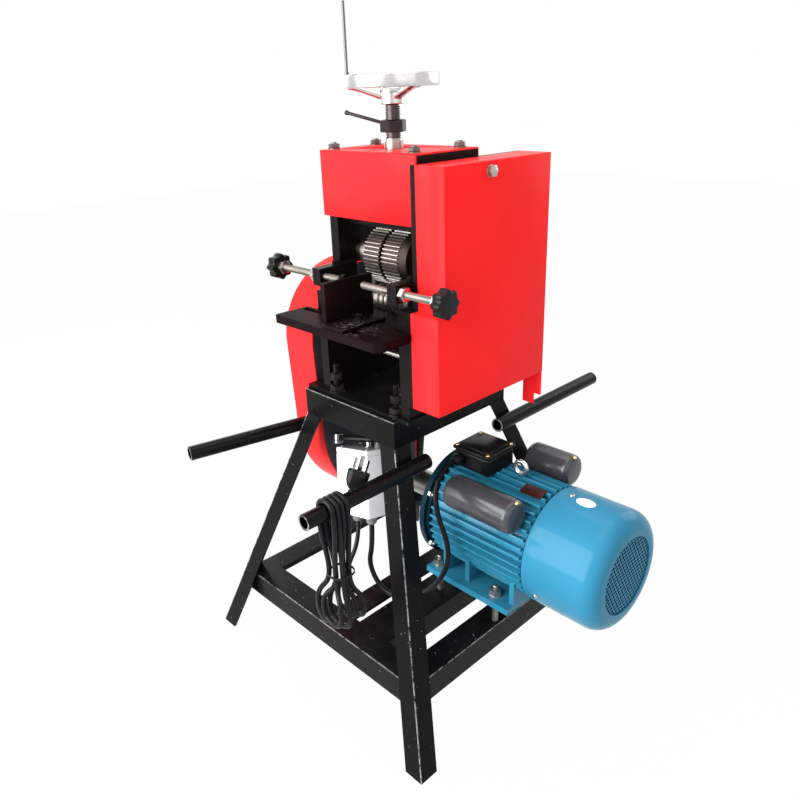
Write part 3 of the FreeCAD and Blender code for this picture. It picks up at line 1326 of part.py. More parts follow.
lid_high = 9.0
box_body = plate("switch", "z", -size.switch_high, -lid_high, [
    (-size.switch_wide, 0.0), (0.0, 0.0), (0.0, size.switch_deep), (-size.switch_wide, size.switch_deep)])
dress(box_body, box_body.Tip, "Fillet", 3.0, along("z"))
leaning(box_body)
lid_body = plate("switch_lid", "z", -lid_high, 0.0, [
    (-size.switch_wide, 0.0), (0.0, 0.0), (0.0, size.switch_deep), (-size.switch_wide, size.switch_deep)])
dress(lid_body, lid_body.Tip, "Fillet", 3.0, along("z"))
leaning(lid_body)

hub_x = -25.0
hub_y = 28.0
lever_long = 57.0
lever_turn = 199.0
doc.recompute()
lever_hub = Part.makeCone(10.0, 7.0, 16.0, FreeCAD.Vector(0, 0, 0.3), AXES["z"])
lever_arm = Part.makeBox(lever_long, 10.0, 6.0, FreeCAD.Vector(0, -5.0, 8.0))
lever_knob = Part.makeCylinder(6.5, 16.0, FreeCAD.Vector(lever_long, 0, 4.0), AXES["z"])
lever_shape = lever_hub.fuse([lever_arm, lever_knob]).removeSplitter()
lever_shape.rotate(FreeCAD.Vector(0, 0, 0), AXES["z"], lever_turn)
lever_shape.translate(FreeCAD.Vector(hub_x, hub_y, 0))
lever_shape.Placement = lean_place.multiply(lever_shape.Placement)
keep("switch_lever", feature("switch_lever", lever_shape))

strip = Part.makeBox(26.0, 5.0, 240.0, FreeCAD.Vector(-30.0, float(size.switch_deep), -95.0))
strip.Placement = lean_place.multiply(strip.Placement)
ceiling = Part.makeBox(600, 600, 300, FreeCAD.Vector(-300, -300, float(size.ring_top)))
keep("switch_hanger", feature("switch_hanger", strip.cut(ceiling)))

# Power cord, its hank over the front right handle, and the motor's cable

cord_r = float(size.cord_dia) / 2


def path_of(points, title):
    """Straight runs joined by tangent arcs as large as the runs allow."""
    points = [FreeCAD.Vector(*p) for p in points]
    edges = []
    radii = []
    start = points[0]
    for before, corner, after in zip(points, points[1:], points[2:]):
        run_in, run_out = before - corner, after - corner
        shorter = min(run_in.Length, run_out.Length)
        turn = math.pi - run_in.getAngle(run_out)
        radius = 0.45 * shorter / math.tan(turn / 2)
        radii.append(round(radius))
        unit_in, unit_out = FreeCAD.Vector(run_in).normalize(), FreeCAD.Vector(run_out).normalize()
        first = corner + unit_in * (0.45 * shorter)
        last = corner + unit_out * (0.45 * shorter)
        middle = (unit_in + unit_out).normalize()
        bow = radius / math.cos(turn / 2) - radius
        edges.append(Part.LineSegment(start, first).toShape())
        edges.append(Part.Arc(first, corner + middle * bow, last).toShape())
        start = last
    edges.append(Part.LineSegment(start, points[-1]).toShape())
    print(title, "radii", radii)
    return Part.Wire(edges)


def tube_along(wire, radius, title):
    """A round tube along a wire, with its volume held against section times length."""
    first = wire.OrderedEdges[0]
    at = first.valueAt(first.FirstParameter)
    heading = first.tangentAt(first.FirstParameter)
    ring_wire = Part.Wire(Part.makeCircle(radius, at, heading))
    tube = wire.makePipeShell([ring_wire], True, False)
    ratio = tube.Volume / (math.pi * radius ** 2 * wire.Length)
    print(title, "length", round(wire.Length), "volume ratio", round(ratio, 4))
    return tube


hank_x = float(handle_x)
hank_top = float(handle_z)
hank_pitch = 7.6
hank_loops = 4
hank_first = -257.0
hank_turn_r = float(tube_half) + cord_r + 0.6
hank_low = 226.0
hank_waist = 285.0
waist_x = 6.0
waist_draw = 0.96
hank_mid = hank_first + hank_pitch * (hank_loops - 1) / 2 + hank_pitch / 4


def drawn(y):
    """The place of a strand at the tied waist."""
    return hank_mid + (y - hank_mid) * waist_draw


def s_bend(start, end):
    """Two equal arcs from one upright place to another."""
    start, end = FreeCAD.Vector(*start), FreeCAD.Vector(*end)
    rise = end.z - start.z
    side = FreeCAD.Vector(end.x - start.x, end.y - start.y, 0)
    shift = side.Length
    side.normalize()
    radius = (rise ** 2 + shift ** 2) / (4 * shift)
    half_angle = math.asin(abs(rise) / 2 / radius)

    def at(share):
        angle = half_angle * share
        return (radius * (1 - math.cos(angle)), radius * math.sin(angle) * (1 if rise > 0 else -1))
    out, up_run = at(0.5)
    quarter = start + side * out + FreeCAD.Vector(0, 0, up_run)
    middle = (start + end) * 0.5
    three = end - side * out - FreeCAD.Vector(0, 0, up_run)
    return [Part.Arc(start, quarter, middle).toShape(), Part.Arc(middle, three, end).toShape()]


def hank_edges():
    """The hank's one unbroken line: over the handle, down, round and up again."""
    edges = []
    place = (hank_x - waist_x, drawn(hank_first - hank_pitch / 4), hank_waist)
    hank_start = place
    for k in range(hank_loops):
        y = hank_first + hank_pitch * k
        low_y = y + hank_pitch / 2
        back_top = (hank_x - hank_turn_r, y, hank_top)
        front_top = (hank_x + hank_turn_r, y, hank_top)
        edges += s_bend(place, back_top)
        edges.append(Part.Arc(FreeCAD.Vector(*back_top), FreeCAD.Vector(hank_x, y, hank_top + hank_turn_r),
                              FreeCAD.Vector(*front_top)).toShape())
        front_waist = (hank_x + waist_x, drawn(y + hank_pitch / 4), hank_waist)
        front_low = (hank_x + hank_turn_r, low_y, hank_low)
        back_low = (hank_x - hank_turn_r, low_y, hank_low)
        edges += s_bend(front_top, front_waist) + s_bend(front_waist, front_low)
        edges.append(Part.Arc(FreeCAD.Vector(*front_low), FreeCAD.Vector(hank_x, low_y, hank_low - hank_turn_r),
                              FreeCAD.Vector(*back_low)).toShape())
        place = (hank_x - waist_x, drawn(y + 3 * hank_pitch / 4), hank_waist)
        edges += s_bend(back_low, place)
    return edges, hank_start, place


hank_line, hank_start, hank_end = hank_edges()
hank_wire = Part.Wire(hank_line)
keep("cord_hank", feature("cord_hank", tube_along(hank_wire, cord_r, "hank")))


def least_gap(wire, radius, step=3.0):
    """The least gap of a tube to itself, measured on points of its line."""
    count = int(wire.Length / step)
    points = wire.discretize(count)
    skip = int(6 * radius / step) + 1
    least = min((points[i] - points[j]).Length
                for i in range(count) for j in range(i + skip, count))
    return least - 2 * radius


print("hank least gap", round(least_gap(hank_wire, cord_r), 2))

tie_half_x = waist_x + cord_r + 0.5
tie_front = drawn(hank_first - hank_pitch / 4) - cord_r - 0.5
tie_rear = drawn(hank_first + hank_pitch * (hank_loops - 0.25)) + cord_r + 0.5
tie_wall = 1.2
tie_band = plate("tie", "z", hank_waist - 3.0, hank_waist + 3.0, [
    (hank_x - tie_half_x - tie_wall, tie_front - tie_wall), (hank_x + tie_half_x + tie_wall, tie_front - tie_wall),
    (hank_x + tie_half_x + tie_wall, tie_rear + tie_wall), (hank_x - tie_half_x - tie_wall, tie_rear + tie_wall)],
    windows=[[(hank_x - tie_half_x, tie_front), (hank_x + tie_half_x, tie_front),
              (hank_x + tie_half_x, tie_rear), (hank_x - tie_half_x, tie_rear)]])
keep("hank_tie", tie_band)

plug_x = 90.0
plug_y = -195.0
plug_z = 361.0
plug_lean = 26.0
plug_way = FreeCAD.Vector(0, math.sin(math.radians(plug_lean)), math.cos(math.radians(plug_lean)))
plug_cord_route = [
    hank_end,
    (hank_end[0], hank_end[1], 300.0),
    (hank_end[0] - 3.5, hank_end[1] + 4.6, 315.0),
    (plug_x, plug_y - 22.0 * plug_way.y, plug_z - 22.0 * plug_way.z),
    (plug_x, plug_y, plug_z),
]
plug_cord_wire = path_of(plug_cord_route, "plug cord")
keep("plug_cord", feature("plug_cord", tube_along(plug_cord_wire, cord_r, "plug cord")))

inlet_x = -46.0
inlet_y = 18.0
motor_inlet_x = -14.0


def switch_foot(x, y, drop):
    """A point under the switch, square to its lower face."""
    return tuple(lean_place.multVec(FreeCAD.Vector(x, y, -float(size.switch_high) - drop)))


gland_deep = 12.0
supply_route = [
    switch_foot(inlet_x, inlet_y, gland_deep),
    switch_foot(inlet_x, inlet_y, gland_deep + 34),
    (-10.0, -134.0, 168.0),
    (22.0, -154.0, 160.0),
    (50.0, -184.0, 162.0),
    (70.0, -217.0, 172.0),
    (82.0, -246.0, 188.0),
    (93.0, -264.0, 208.0),
    (102.0, -268.0, 232.0),
    (hank_start[0] - 2.0, hank_start[1] - 4.0, 256.0),
    (hank_start[0], hank_start[1], 271.0),
    hank_start,
]
supply_wire = path_of(supply_route, "supply cord")
keep("supply_cord", feature("supply_cord", tube_along(supply_wire, cord_r, "supply cord")))

cable_dia = 8.0
motor_route = [
    switch_foot(motor_inlet_x, inlet_y, gland_deep),
    switch_foot(motor_inlet_x, inlet_y, gland_deep + 34),
    (6.0, -100.0, 172.0),
    (23.0, -97.0, 136.0),
    (52.0, -90.0, 124.0),
    (86.0, -72.0, 134.0),
    (112.0, -58.0, 160.0),
    (126.0, -47.0, 196.0),
    (124.0, -44.0, 234.0),
    (106.0, -46.0, 272.0),
    (96.0, -41.0, 304.0),
    (93.0, -29.0, 325.0),
    (88.0, -8.0, 337.0),
    (88.0, 22.0, 337.0),
]
motor_wire = path_of(motor_route, "motor cable")
keep("motor_cable", feature("motor_cable", tube_along(motor_wire, cable_dia / 2, "motor cable")))

glands = []
for gland_x, gland_r in ((inlet_x, cord_r), (motor_inlet_x, cable_dia / 2)):
    low = FreeCAD.Vector(gland_x, inlet_y, -float(size.switch_high) - gland_deep)
    inlet = Part.makeCylinder(9.0, gland_deep, low, AXES["z"])
    inlet.Placement = lean_place.multiply(inlet.Placement)
    glands.append(feature("switch_gland", inlet))
keep("switch_housing", group("switch_housing", [box_body, lid_body] + glands))

relief_long = 15.0
plug_long = 25.0
plug_ribs = 3
profile = [FreeCAD.Vector(0, 0, 0), FreeCAD.Vector(6.0, 0, 0)]
for i in range(plug_ribs):
    z = relief_long * (i + 0.4) / plug_ribs
    profile += [FreeCAD.Vector(6.4 + 0.5 * i, 0, z - 0.6), FreeCAD.Vector(5.2 + 0.5 * i, 0, z),
                FreeCAD.Vector(5.2 + 0.5 * i, 0, z + 1.4), FreeCAD.Vector(6.8 + 0.5 * i, 0, z + 2.0)]
profile += [FreeCAD.Vector(9.0, 0, relief_long), FreeCAD.Vector(0, 0, relief_long)]
relief_solid = Part.Face(Part.makePolygon(profile + profile[:1])).revolve(
    FreeCAD.Vector(0, 0, 0), AXES["z"], 360)


def rounded_slab(wide, deep, z):
    half_w, half_d = wide / 2, deep / 2
    nose = deep * 0.42
    corners = [FreeCAD.Vector(-half_w, -half_d + nose, z), FreeCAD.Vector(-half_w + nose, -half_d, z),
               FreeCAD.Vector(half_w - nose, -half_d, z), FreeCAD.Vector(half_w, -half_d + nose, z),
               FreeCAD.Vector(half_w, half_d - nose, z), FreeCAD.Vector(half_w - nose, half_d, z),
               FreeCAD.Vector(-half_w + nose, half_d, z), FreeCAD.Vector(-half_w, half_d - nose, z)]
    return Part.makePolygon(corners + corners[:1])


plug_body = Part.makeLoft([rounded_slab(19.0, 17.0, relief_long), rounded_slab(29.0, 19.0, relief_long + 11),
                           rounded_slab(30.0, 21.0, relief_long + plug_long)], True, True)
pins = []
plug_face = relief_long + plug_long
for pin_x, pin_y, pin_turn, pin_long in ((-8.0, -3.0, 30.0, 17.0), (8.0, -3.0, -30.0, 17.0), (0.0, 6.5, 90.0, 20.0)):
    pin = Part.makeBox(1.6, 6.3, pin_long, FreeCAD.Vector(-0.8, -3.15, 0))
    pin.rotate(FreeCAD.Vector(0, 0, 0), AXES["z"], pin_turn)
    pin.translate(FreeCAD.Vector(pin_x, pin_y, plug_face))
    pins.append(pin)
plug_turn = FreeCAD.Rotation(AXES["z"], 45.0)
plug_place = FreeCAD.Placement(FreeCAD.Vector(plug_x, plug_y, plug_z),
                               FreeCAD.Rotation(AXES["z"], plug_way).multiply(plug_turn))
plug_shape = relief_solid.fuse(plug_body).removeSplitter()
plug_shape.Placement = plug_place.multiply(plug_shape.Placement)
pin_shape = Part.makeCompound(pins)
pin_shape.Placement = plug_place.multiply(pin_shape.Placement)
keep("power_plug", group("power_plug", [feature("plug_body", plug_shape), feature("plug_pins", pin_shape)]))

# Checks and export

doc.recompute()
faults = [item.Name for item in doc.Objects if "Invalid" in item.State or "Error" in item.State]
for label, thing in nodes.items():
    if thing.Shape.isNull() or not thing.Shape.isValid() or not thing.Shape.Solids:
        faults.append(label)
if faults:
    raise SystemExit("failed objects: " + ", ".join(faults))
os.makedirs("parts", exist_ok=True)
for label, thing in nodes.items():
    thing.Shape.exportStep(os.path.join("parts", label + ".step"))
print(len(nodes), "nodes")
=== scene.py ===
"""Looks of the wire stripping machine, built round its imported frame."""
import math

import bmesh
import bpy
from mathutils import Matrix, Vector


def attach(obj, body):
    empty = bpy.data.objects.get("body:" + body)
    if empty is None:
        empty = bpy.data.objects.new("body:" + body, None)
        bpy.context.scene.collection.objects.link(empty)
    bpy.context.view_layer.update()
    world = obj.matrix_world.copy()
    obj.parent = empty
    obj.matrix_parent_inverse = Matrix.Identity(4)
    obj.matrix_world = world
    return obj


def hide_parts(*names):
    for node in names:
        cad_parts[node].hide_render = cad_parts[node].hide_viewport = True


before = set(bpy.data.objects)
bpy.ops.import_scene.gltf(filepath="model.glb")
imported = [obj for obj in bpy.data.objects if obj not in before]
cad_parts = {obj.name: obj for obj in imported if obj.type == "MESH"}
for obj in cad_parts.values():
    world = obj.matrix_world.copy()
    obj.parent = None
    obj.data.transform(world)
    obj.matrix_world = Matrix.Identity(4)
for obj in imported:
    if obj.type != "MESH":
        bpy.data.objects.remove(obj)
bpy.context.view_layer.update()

MM = 0.001
ALONG = {"x": Vector((1, 0, 0)), "y": Vector((0, 1, 0)), "z": Vector((0, 0, 1))}
ACROSS = {"x": Vector((0, 1, 0)), "y": Vector((0, 0, 1)), "z": Vector((1, 0, 0))}

# Places that several pieces share, in millimetres
spindle_x, spindle_y = 24.0, -30.0
spindle_at = (spindle_x, spindle_y, 0.0)
screw_line = (0, -112.0, 626.0)
motor_y, motor_z = 57.0, 240.0
motor_at = (0, motor_y, motor_z)


def mm(*place):
    """A point given in millimetres, in metres."""
    return Vector(place) * MM


# Camera

yaw, pitch, roll = math.radians(46.67), math.radians(22.39), math.radians(2.217)
forward = Vector((-math.sin(yaw) * math.cos(pitch), math.cos(yaw) * math.cos(pitch), -math.sin(pitch)))
level_right = Vector((math.cos(yaw), math.sin(yaw), 0))
level_down = forward.cross(level_right)
right = level_right * math.cos(roll) + level_down * math.sin(roll)
down = level_down * math.cos(roll) - level_right * math.sin(roll)
camera_turn = Matrix((right, -down, -forward)).transposed().to_4x4()

camera_data = bpy.data.cameras.new("photo_camera")
camera_data.sensor_width = 36.0
camera_data.lens = 33.19
camera_data.shift_x = 0.0026
camera_data.shift_y = -0.0106
camera_data.clip_start = 0.02
camera = bpy.data.objects.new("photo_camera", camera_data)
bpy.context.scene.collection.objects.link(camera)
camera.matrix_world = Matrix.Translation(mm(751.5, -726.1, 861.2)) @ camera_turn
bpy.context.scene.camera = camera


# Shader maths

class Wire:
    """A value in a material; arithmetic on it adds Math nodes."""

    def __init__(self, finish, socket):
        self.finish = finish
        self.socket = socket

    def _maths(self, operation, *values):
        return self.finish.node("ShaderNodeMath", {"operation": operation}, dict(enumerate(values)))

    def __add__(self, other):
        return self._maths("ADD", self, other)

    def __sub__(self, other):
        return self._maths("SUBTRACT", self, other)

    def __rsub__(self, other):
        return self._maths("SUBTRACT", other, self)

    def __mul__(self, other):
        return self._maths("MULTIPLY", self, other)

    def __pow__(self, other):
        return self._maths("POWER", self, other)

    def __gt__(self, other):
        return self._maths("GREATER_THAN", self, other)

    def __lt__(self, other):
        return self._maths("LESS_THAN", self, other)

    def __abs__(self):
        return self._maths("ABSOLUTE", self)

    __radd__ = __add__


class Finish:
    """A material under construction."""

    def __init__(self, name):
        self.material = bpy.data.materials.new(name)
        self.material.use_nodes = True
        self.tree = self.material.node_tree
        self.tree.nodes.clear()
        self.shader = self.tree.nodes.new("ShaderNodeBsdfPrincipled")
        output = self.tree.nodes.new("ShaderNodeOutputMaterial")
        self.tree.links.new(self.shader.outputs[0], output.inputs[0])

    def node(self, kind, settings=None, inputs=None, output=0):
        """Any node: settings first, then its inputs' values or links."""
        made = self.tree.nodes.new(kind)
        for key, value in (settings or {}).items():
            setattr(made, key, value)
        self.feed(made, inputs or {})
        return Wire(self, made.outputs[output])

    def feed(self, made, inputs):
        """Sets or links a node's inputs."""
        for key, value in inputs.items():
            if isinstance(value, Wire):
                self.tree.links.new(value.socket, made.inputs[key])
            else:
                made.inputs[key].default_value = value

    def part(self, vector, name):
        """One part of a vector."""
        return self.node("ShaderNodeSeparateXYZ", None, {0: vector}, output="XYZ".index(name))

    def axis(self, name):
        """One object coordinate, in metres."""
        return self.part(self.node("ShaderNodeTexCoord", output="Object"), name)

    def facing(self, name):
        """How far the surface faces along an axis, from -1 to 1."""
        return self.part(self.node("ShaderNodeNewGeometry", output="Normal"), name)

    def noise(self, scale, detail=3.0, rough=0.5, stretch=(1, 1, 1)):
        """Noise over the object's own space; a larger stretch makes it finer along that axis."""
        spot = self.node("ShaderNodeTexCoord", output="Object")
        place = self.node("ShaderNodeMapping", None, {"Vector": spot, "Scale": stretch})
        return self.node("ShaderNodeTexNoise", None, {
            "Vector": place, "Scale": scale, "Detail": detail, "Roughness": rough})

    def step(self, value, low, high):
        """0 below low, 1 above high."""
        return self.node("ShaderNodeMapRange", {"clamp": True}, {
            "Value": value, "From Min": low, "From Max": high, "To Min": 0.0, "To Max": 1.0})

    def mix(self, share, first, second):
        """The first colour at a share of 0, the second at 1."""
        made = self.tree.nodes.new("ShaderNodeMix")
        made.data_type = "RGBA"
        for index, value in ((0, share), (6, first), (7, second)):
            if isinstance(value, Wire):
                self.tree.links.new(value.socket, made.inputs[index])
            else:
                made.inputs[index].default_value = (*value, 1.0) if index else value
        return Wire(self, made.outputs[2])

    def larger(self, first, second):
        """The larger of two values."""
        return self.node("ShaderNodeMath", {"operation": "MAXIMUM"}, {0: first, 1: second})

    def bump(self, height, deep):
        """A normal from a height, whose full step is so deep in metres."""
        return self.node("ShaderNodeBump", None, {"Height": height, "Distance": deep, "Strength": 1.0})

    def surface(self, **inputs):
        """Feeds the shader; an underscore in a name stands for a space."""
        self.feed(self.shader, {key.replace("_", " "): value for key, value in inputs.items()})
        return self.material


def shade_of(colour, factor):
    """A lighter or darker colour."""
    return tuple(min(c * factor, 1) for c in colour)


def enamel(name, body, worn, rough, peel, dust, chips, grime, gloss=1.16, edge=None, coat=0.04):
    """Sprayed paint: orange peel, uneven gloss, dust on what faces up, small chips and rubbed edges."""
    finish = Finish(name)
    cloud = finish.noise(7.0, 4.0)
    tone = finish.mix(finish.step(cloud, 0.35, 0.70), shade_of(body, 0.93), shade_of(body, 1.05))
    speck = finish.step(finish.noise(220.0, 2.0, 0.6), 0.725 - chips, 0.740 - chips)
    scrape = finish.step(finish.noise(60.0, 5.0, 0.7, (1, 1, 9)), 0.70 - chips, 0.74 - chips)
    wear = finish.larger(speck, scrape)
    if edge is not None:
        rub = finish.step(finish.noise(75.0, 4.0, 0.7), 0.40, 0.56)
        wear = finish.larger(wear, edge(finish) * rub)
    painted = finish.mix(wear, tone, worn)
    upward = finish.step(finish.facing("Z"), 0.55, 0.95)
    powder = upward * finish.step(finish.noise(28.0, 6.0, 0.65), 0.40, 0.75) * dust
    fine = finish.noise(950.0, 2.0)
    coarse = finish.noise(160.0, 3.0)
    return finish.surface(
        Base_Color=finish.mix(powder, painted, grime),
        Roughness=rough + finish.noise(16.0, 5.0, 0.6) * 0.16 - 0.08 + powder * 0.5 + wear * 0.1,
        Metallic=wear * 0.7, IOR=gloss, Coat_Weight=coat, Coat_Roughness=0.05,
        Normal=finish.bump(fine + coarse * 1.5 - wear * 1.2, peel))


def turned_metal(name, body, rough, stains, streak=(1, 1, 1), stain=(0.16, 0.12, 0.09), scratch=0.00003):
    """Machined or plated metal: fine tool lines, smears and a little tarnish."""
    finish = Finish(name)
    lines = finish.noise(90.0, 4.0, 0.7, streak)
    smear = finish.step(finish.noise(24.0, 5.0, 0.6), 0.48, 0.80)
    tone = finish.mix(lines, shade_of(body, 0.72), shade_of(body, 1.15))
    dirt = smear * stains
    return finish.surface(
        Base_Color=finish.mix(dirt, tone, stain),
        Metallic=1.0 - dirt * 0.6,
        Roughness=rough + lines * 0.12 + dirt * 0.35,
        Normal=finish.bump(lines, scratch))


def moulded(name, body, rough, grain=0.00004, grain_scale=1400.0, dust=0.10, gloss=1.18):
    """Moulded plastic or rubber: fine grain, faint scuffs and dust."""
    finish = Finish(name)
    scuff = finish.step(finish.noise(40.0, 6.0, 0.7, (1, 3, 1)), 0.56, 0.80)
    upward = finish.step(finish.facing("Z"), 0.3, 0.9)
    powder = upward * finish.step(finish.noise(35.0, 5.0, 0.6), 0.42, 0.72) * dust
    tone = finish.mix(scuff * 0.5, body, tuple(c * 1.5 + 0.002 for c in body))
    return finish.surface(
        Base_Color=finish.mix(powder, tone, (0.12, 0.11, 0.10)),
        IOR=gloss, Coat_Weight=0.12, Coat_Roughness=0.12,
        Roughness=rough + scuff * 0.15 + powder * 0.4,
        Normal=finish.bump(finish.noise(grain_scale, 2.0), grain))


# Edges where paint is rubbed off, in metres

def leg_edge(finish):
    """The outer corner of a splayed leg: its distance from the middle grows from the leg's top down."""
    leg_top, corner_x, corner_y, lean_x, lean_y = 0.407, 0.0947, 0.1167, 0.3612, 0.2776
    drop = leg_top - finish.axis("Z")
    past_x = abs(finish.axis("X")) > drop * lean_x + corner_x
    return past_x * (abs(finish.axis("Y")) > drop * lean_y + corner_y)


def rail_edge(top, half_x, half_y):
    """The outer top edge of a ring of rails."""
    lip = 0.0012

    def mask(finish):
        side = finish.larger(abs(finish.axis("X")) > half_x - lip, abs(finish.axis("Y")) > half_y - lip)
        return (finish.axis("Z") > top - lip) * side
    return mask


def tube_end(finish):
    """The cut end of a handle tube."""
    return abs(finish.facing("Y")) > 0.9


# Finishes

bare_steel = (0.30, 0.29, 0.28)
stand_black = (0.0034, 0.0034, 0.0036)
dark_grime = (0.08, 0.07, 0.07)
floor_grime = (0.10, 0.08, 0.07)
leg_paint = enamel("leg_black", stand_black, bare_steel, rough=0.30, peel=0.00008, dust=0.04, chips=-0.008,
                   grime=dark_grime, gloss=1.15, edge=leg_edge)
top_rail_paint = enamel("top_rail_black", stand_black, bare_steel, rough=0.30, peel=0.00008, dust=0.04,
                        chips=-0.004, grime=dark_grime, gloss=1.15,
                        edge=rail_edge(top=0.447, half_x=0.096, half_y=0.118))
low_rail_paint = enamel("low_rail_black", stand_black, bare_steel, rough=0.30, peel=0.00008, dust=0.05,
                        chips=0.004, grime=floor_grime, gloss=1.15,
                        edge=rail_edge(top=0.1114, half_x=0.1988, half_y=0.1960))
handle_paint = enamel("handle_black", stand_black, bare_steel, rough=0.22, peel=0.00006, dust=0.02,
                      chips=-0.01, grime=dark_grime, gloss=1.18, edge=tube_end)
stand_paint = enamel("stand_black", stand_black, (0.20, 0.19, 0.18), rough=0.30, peel=0.00009, dust=0.06,
                     chips=0.004, grime=floor_grime, gloss=1.15)
head_paint = enamel("head_black", (0.0062, 0.0044, 0.0046), (0.10, 0.09, 0.09), rough=0.27, peel=0.00006,
                    dust=0.04, chips=-0.006, grime=(0.08, 0.06, 0.05), gloss=1.15)
red_paint = enamel("red_powder_coat", (0.92, 0.0195, 0.0215), (0.70, 0.02, 0.03), rough=0.30, peel=0.00003,
                   dust=0.02, chips=-0.06, grime=(0.85, 0.10, 0.10), gloss=1.10, coat=0.02)
teal_paint = enamel("motor_teal", (0.026, 0.190, 0.315), (0.05, 0.26, 0.38), rough=0.24, peel=0.00003,
                    dust=0.03, chips=-0.04, grime=(0.08, 0.26, 0.36), gloss=1.15, coat=0.12)
# The end shields: the motor's teal darkened to about a tenth, painted shade for the shadow they lie in.
painted_shade_shield = enamel("end_shield_painted_shade", (0.003, 0.022, 0.034), (0.03, 0.08, 0.11), rough=0.30, peel=0.00008,
                      dust=0.04, chips=-0.01, grime=(0.04, 0.06, 0.08))
grey_paint = enamel("switch_grey", (0.94, 0.95, 0.96), (0.70, 0.71, 0.72), rough=0.33, peel=0.00004,
                    dust=0.02, chips=-0.04, grime=(0.60, 0.57, 0.53))
lid_paint = enamel("switch_lid_grey", (0.16, 0.165, 0.17), (0.40, 0.41, 0.42), rough=0.34, peel=0.00004,
                   dust=0.06, chips=-0.01, grime=(0.30, 0.28, 0.26))
sheet_grey = enamel("guard_back_grey", (0.050, 0.055, 0.065), (0.20, 0.21, 0.23), rough=0.35, peel=0.00006,
                    dust=0.04, chips=-0.01, grime=(0.14, 0.13, 0.12))

bright_steel = turned_metal("bright_steel", (0.40, 0.38, 0.36), rough=0.24, stains=0.30, streak=(40, 1, 1))
chrome = turned_metal("chrome", (0.32, 0.33, 0.34), rough=0.10, stains=0.20, stain=(0.14, 0.13, 0.13),
                      scratch=0.000006)
rod_steel = turned_metal("rod_steel", (0.13, 0.13, 0.135), rough=0.26, stains=0.20, streak=(1, 1, 20))
wheel_metal = turned_metal("polished_wheel", (0.66, 0.64, 0.63), rough=0.14, stains=0.50, streak=(1, 1, 6),
                           stain=(0.12, 0.11, 0.10), scratch=0.00004)
zinc = turned_metal("zinc_plate", (0.46, 0.44, 0.41), rough=0.24, stains=0.40, stain=(0.12, 0.10, 0.08))
dark_steel = turned_metal("blackened_steel", (0.15, 0.12, 0.115), rough=0.28, stains=0.45,
                          stain=(0.022, 0.016, 0.014))
oiled_steel = turned_metal("oiled_black_steel", (0.036, 0.028, 0.027), rough=0.24, stains=0.5,
                           stain=(0.010, 0.008, 0.008))
cast_iron = turned_metal("cast_iron", (0.20, 0.19, 0.18), rough=0.45, stains=0.6, stain=(0.08, 0.06, 0.05),
                         scratch=0.0001)
brass = turned_metal("brass", (0.80, 0.56, 0.22), rough=0.20, stains=0.2, stain=(0.35, 0.22, 0.10))
weld_steel = turned_metal("painted_weld", (0.05, 0.045, 0.042), rough=0.30, stains=0.6,
                          stain=(0.02, 0.018, 0.017), scratch=0.00012)

black_plastic = moulded("black_plastic", (0.0065, 0.0062, 0.0065), rough=0.30)
gloss_plastic = moulded("capacitor_black", (0.042, 0.043, 0.049), rough=0.22, grain=0.00002,
                        grain_scale=900.0, dust=0.08, gloss=1.45)
rubber = moulded("black_rubber", (0.010, 0.010, 0.011), rough=0.40, grain=0.00003, grain_scale=1800.0,
                 dust=0.06)
cord_jacket = moulded("cord_jacket", (0.0075, 0.0075, 0.0085), rough=0.30, grain=0.00003,
                      grain_scale=700.0, dust=0.05)
plate_brown = moulded("blank_plate", (0.035, 0.008, 0.007), rough=0.30, grain=0.00002, grain_scale=500.0,
                      dust=0.05)
# Near-white for the oval on the fan cowl's top: a painted highlight where light glints on the cowl.
highlight_white = moulded("cowl_painted_highlight", (0.86, 0.85, 0.83), rough=0.35, grain=0.00001, grain_scale=500.0,
                      dust=0.0)


def table_finish():
    """The feed table and the fence's foot: black paint with a scoured patch where wire is fed."""
    patch_x, patch_y, patch_inner, patch_outer = 0.058, -0.138, 0.012, 0.040
    finish = Finish("scoured_table")
    dx, dy = finish.axis("X") - patch_x, finish.axis("Y") - patch_y
    near = 1.0 - finish.step((dx * dx + dy * dy) ** 0.5, patch_inner, patch_outer)
    flake = finish.step(finish.noise(190.0, 5.0, 0.7), 0.52, 0.66)
    top = finish.step(finish.facing("Z"), 0.8, 0.95)
    bare = near * flake * top * 0.7
    cloud = finish.step(finish.noise(8.0, 4.0), 0.35, 0.7)
    black = finish.mix(cloud, (0.0060, 0.0030, 0.0030), (0.0090, 0.0045, 0.0045))
    return finish.surface(
        Base_Color=finish.mix(bare, black, (0.22, 0.21, 0.20)), Metallic=bare * 0.6, IOR=1.08,
        Roughness=0.28 + finish.noise(20.0, 5.0, 0.6) * 0.14 + bare * 0.1, Coat_Weight=0.04,
        Normal=finish.bump(finish.noise(900.0, 2.0) + flake * near * 2.0, 0.00008))


def knurl_finish():
    """The rollers: bright where the teeth bite, dark and oily in the gaps, a bare collar at the left."""
    roller_y, lower_z, axes_apart, nip, collar_end = -0.030, 0.585, 0.063, 0.6085, -0.0056
    finish = Finish("feed_rollers")
    y, z = finish.axis("Y") - roller_y, finish.axis("Z")
    upper = finish.step(z, nip, nip + 0.0005)
    rise = z - (lower_z + upper * axes_apart)
    reach = (y * y + rise * rise) ** 0.5
    upper_tooth, lower_tooth = finish.step(reach, 0.0368, 0.0387), finish.step(reach, 0.0196, 0.0226)
    tooth = upper_tooth * upper + lower_tooth * (1.0 - upper)
    bright = finish.larger(tooth, finish.axis("X") < collar_end)
    grain = finish.noise(300.0, 4.0, 0.7)
    tone = finish.mix(bright, (0.045, 0.032, 0.028), (0.66, 0.60, 0.56))
    return finish.surface(
        Base_Color=finish.mix(grain * 0.35, tone, (0.20, 0.16, 0.14)), Metallic=1.0,
        Roughness=0.40 - bright * 0.18 + grain * 0.12, Normal=finish.bump(grain, 0.00004))


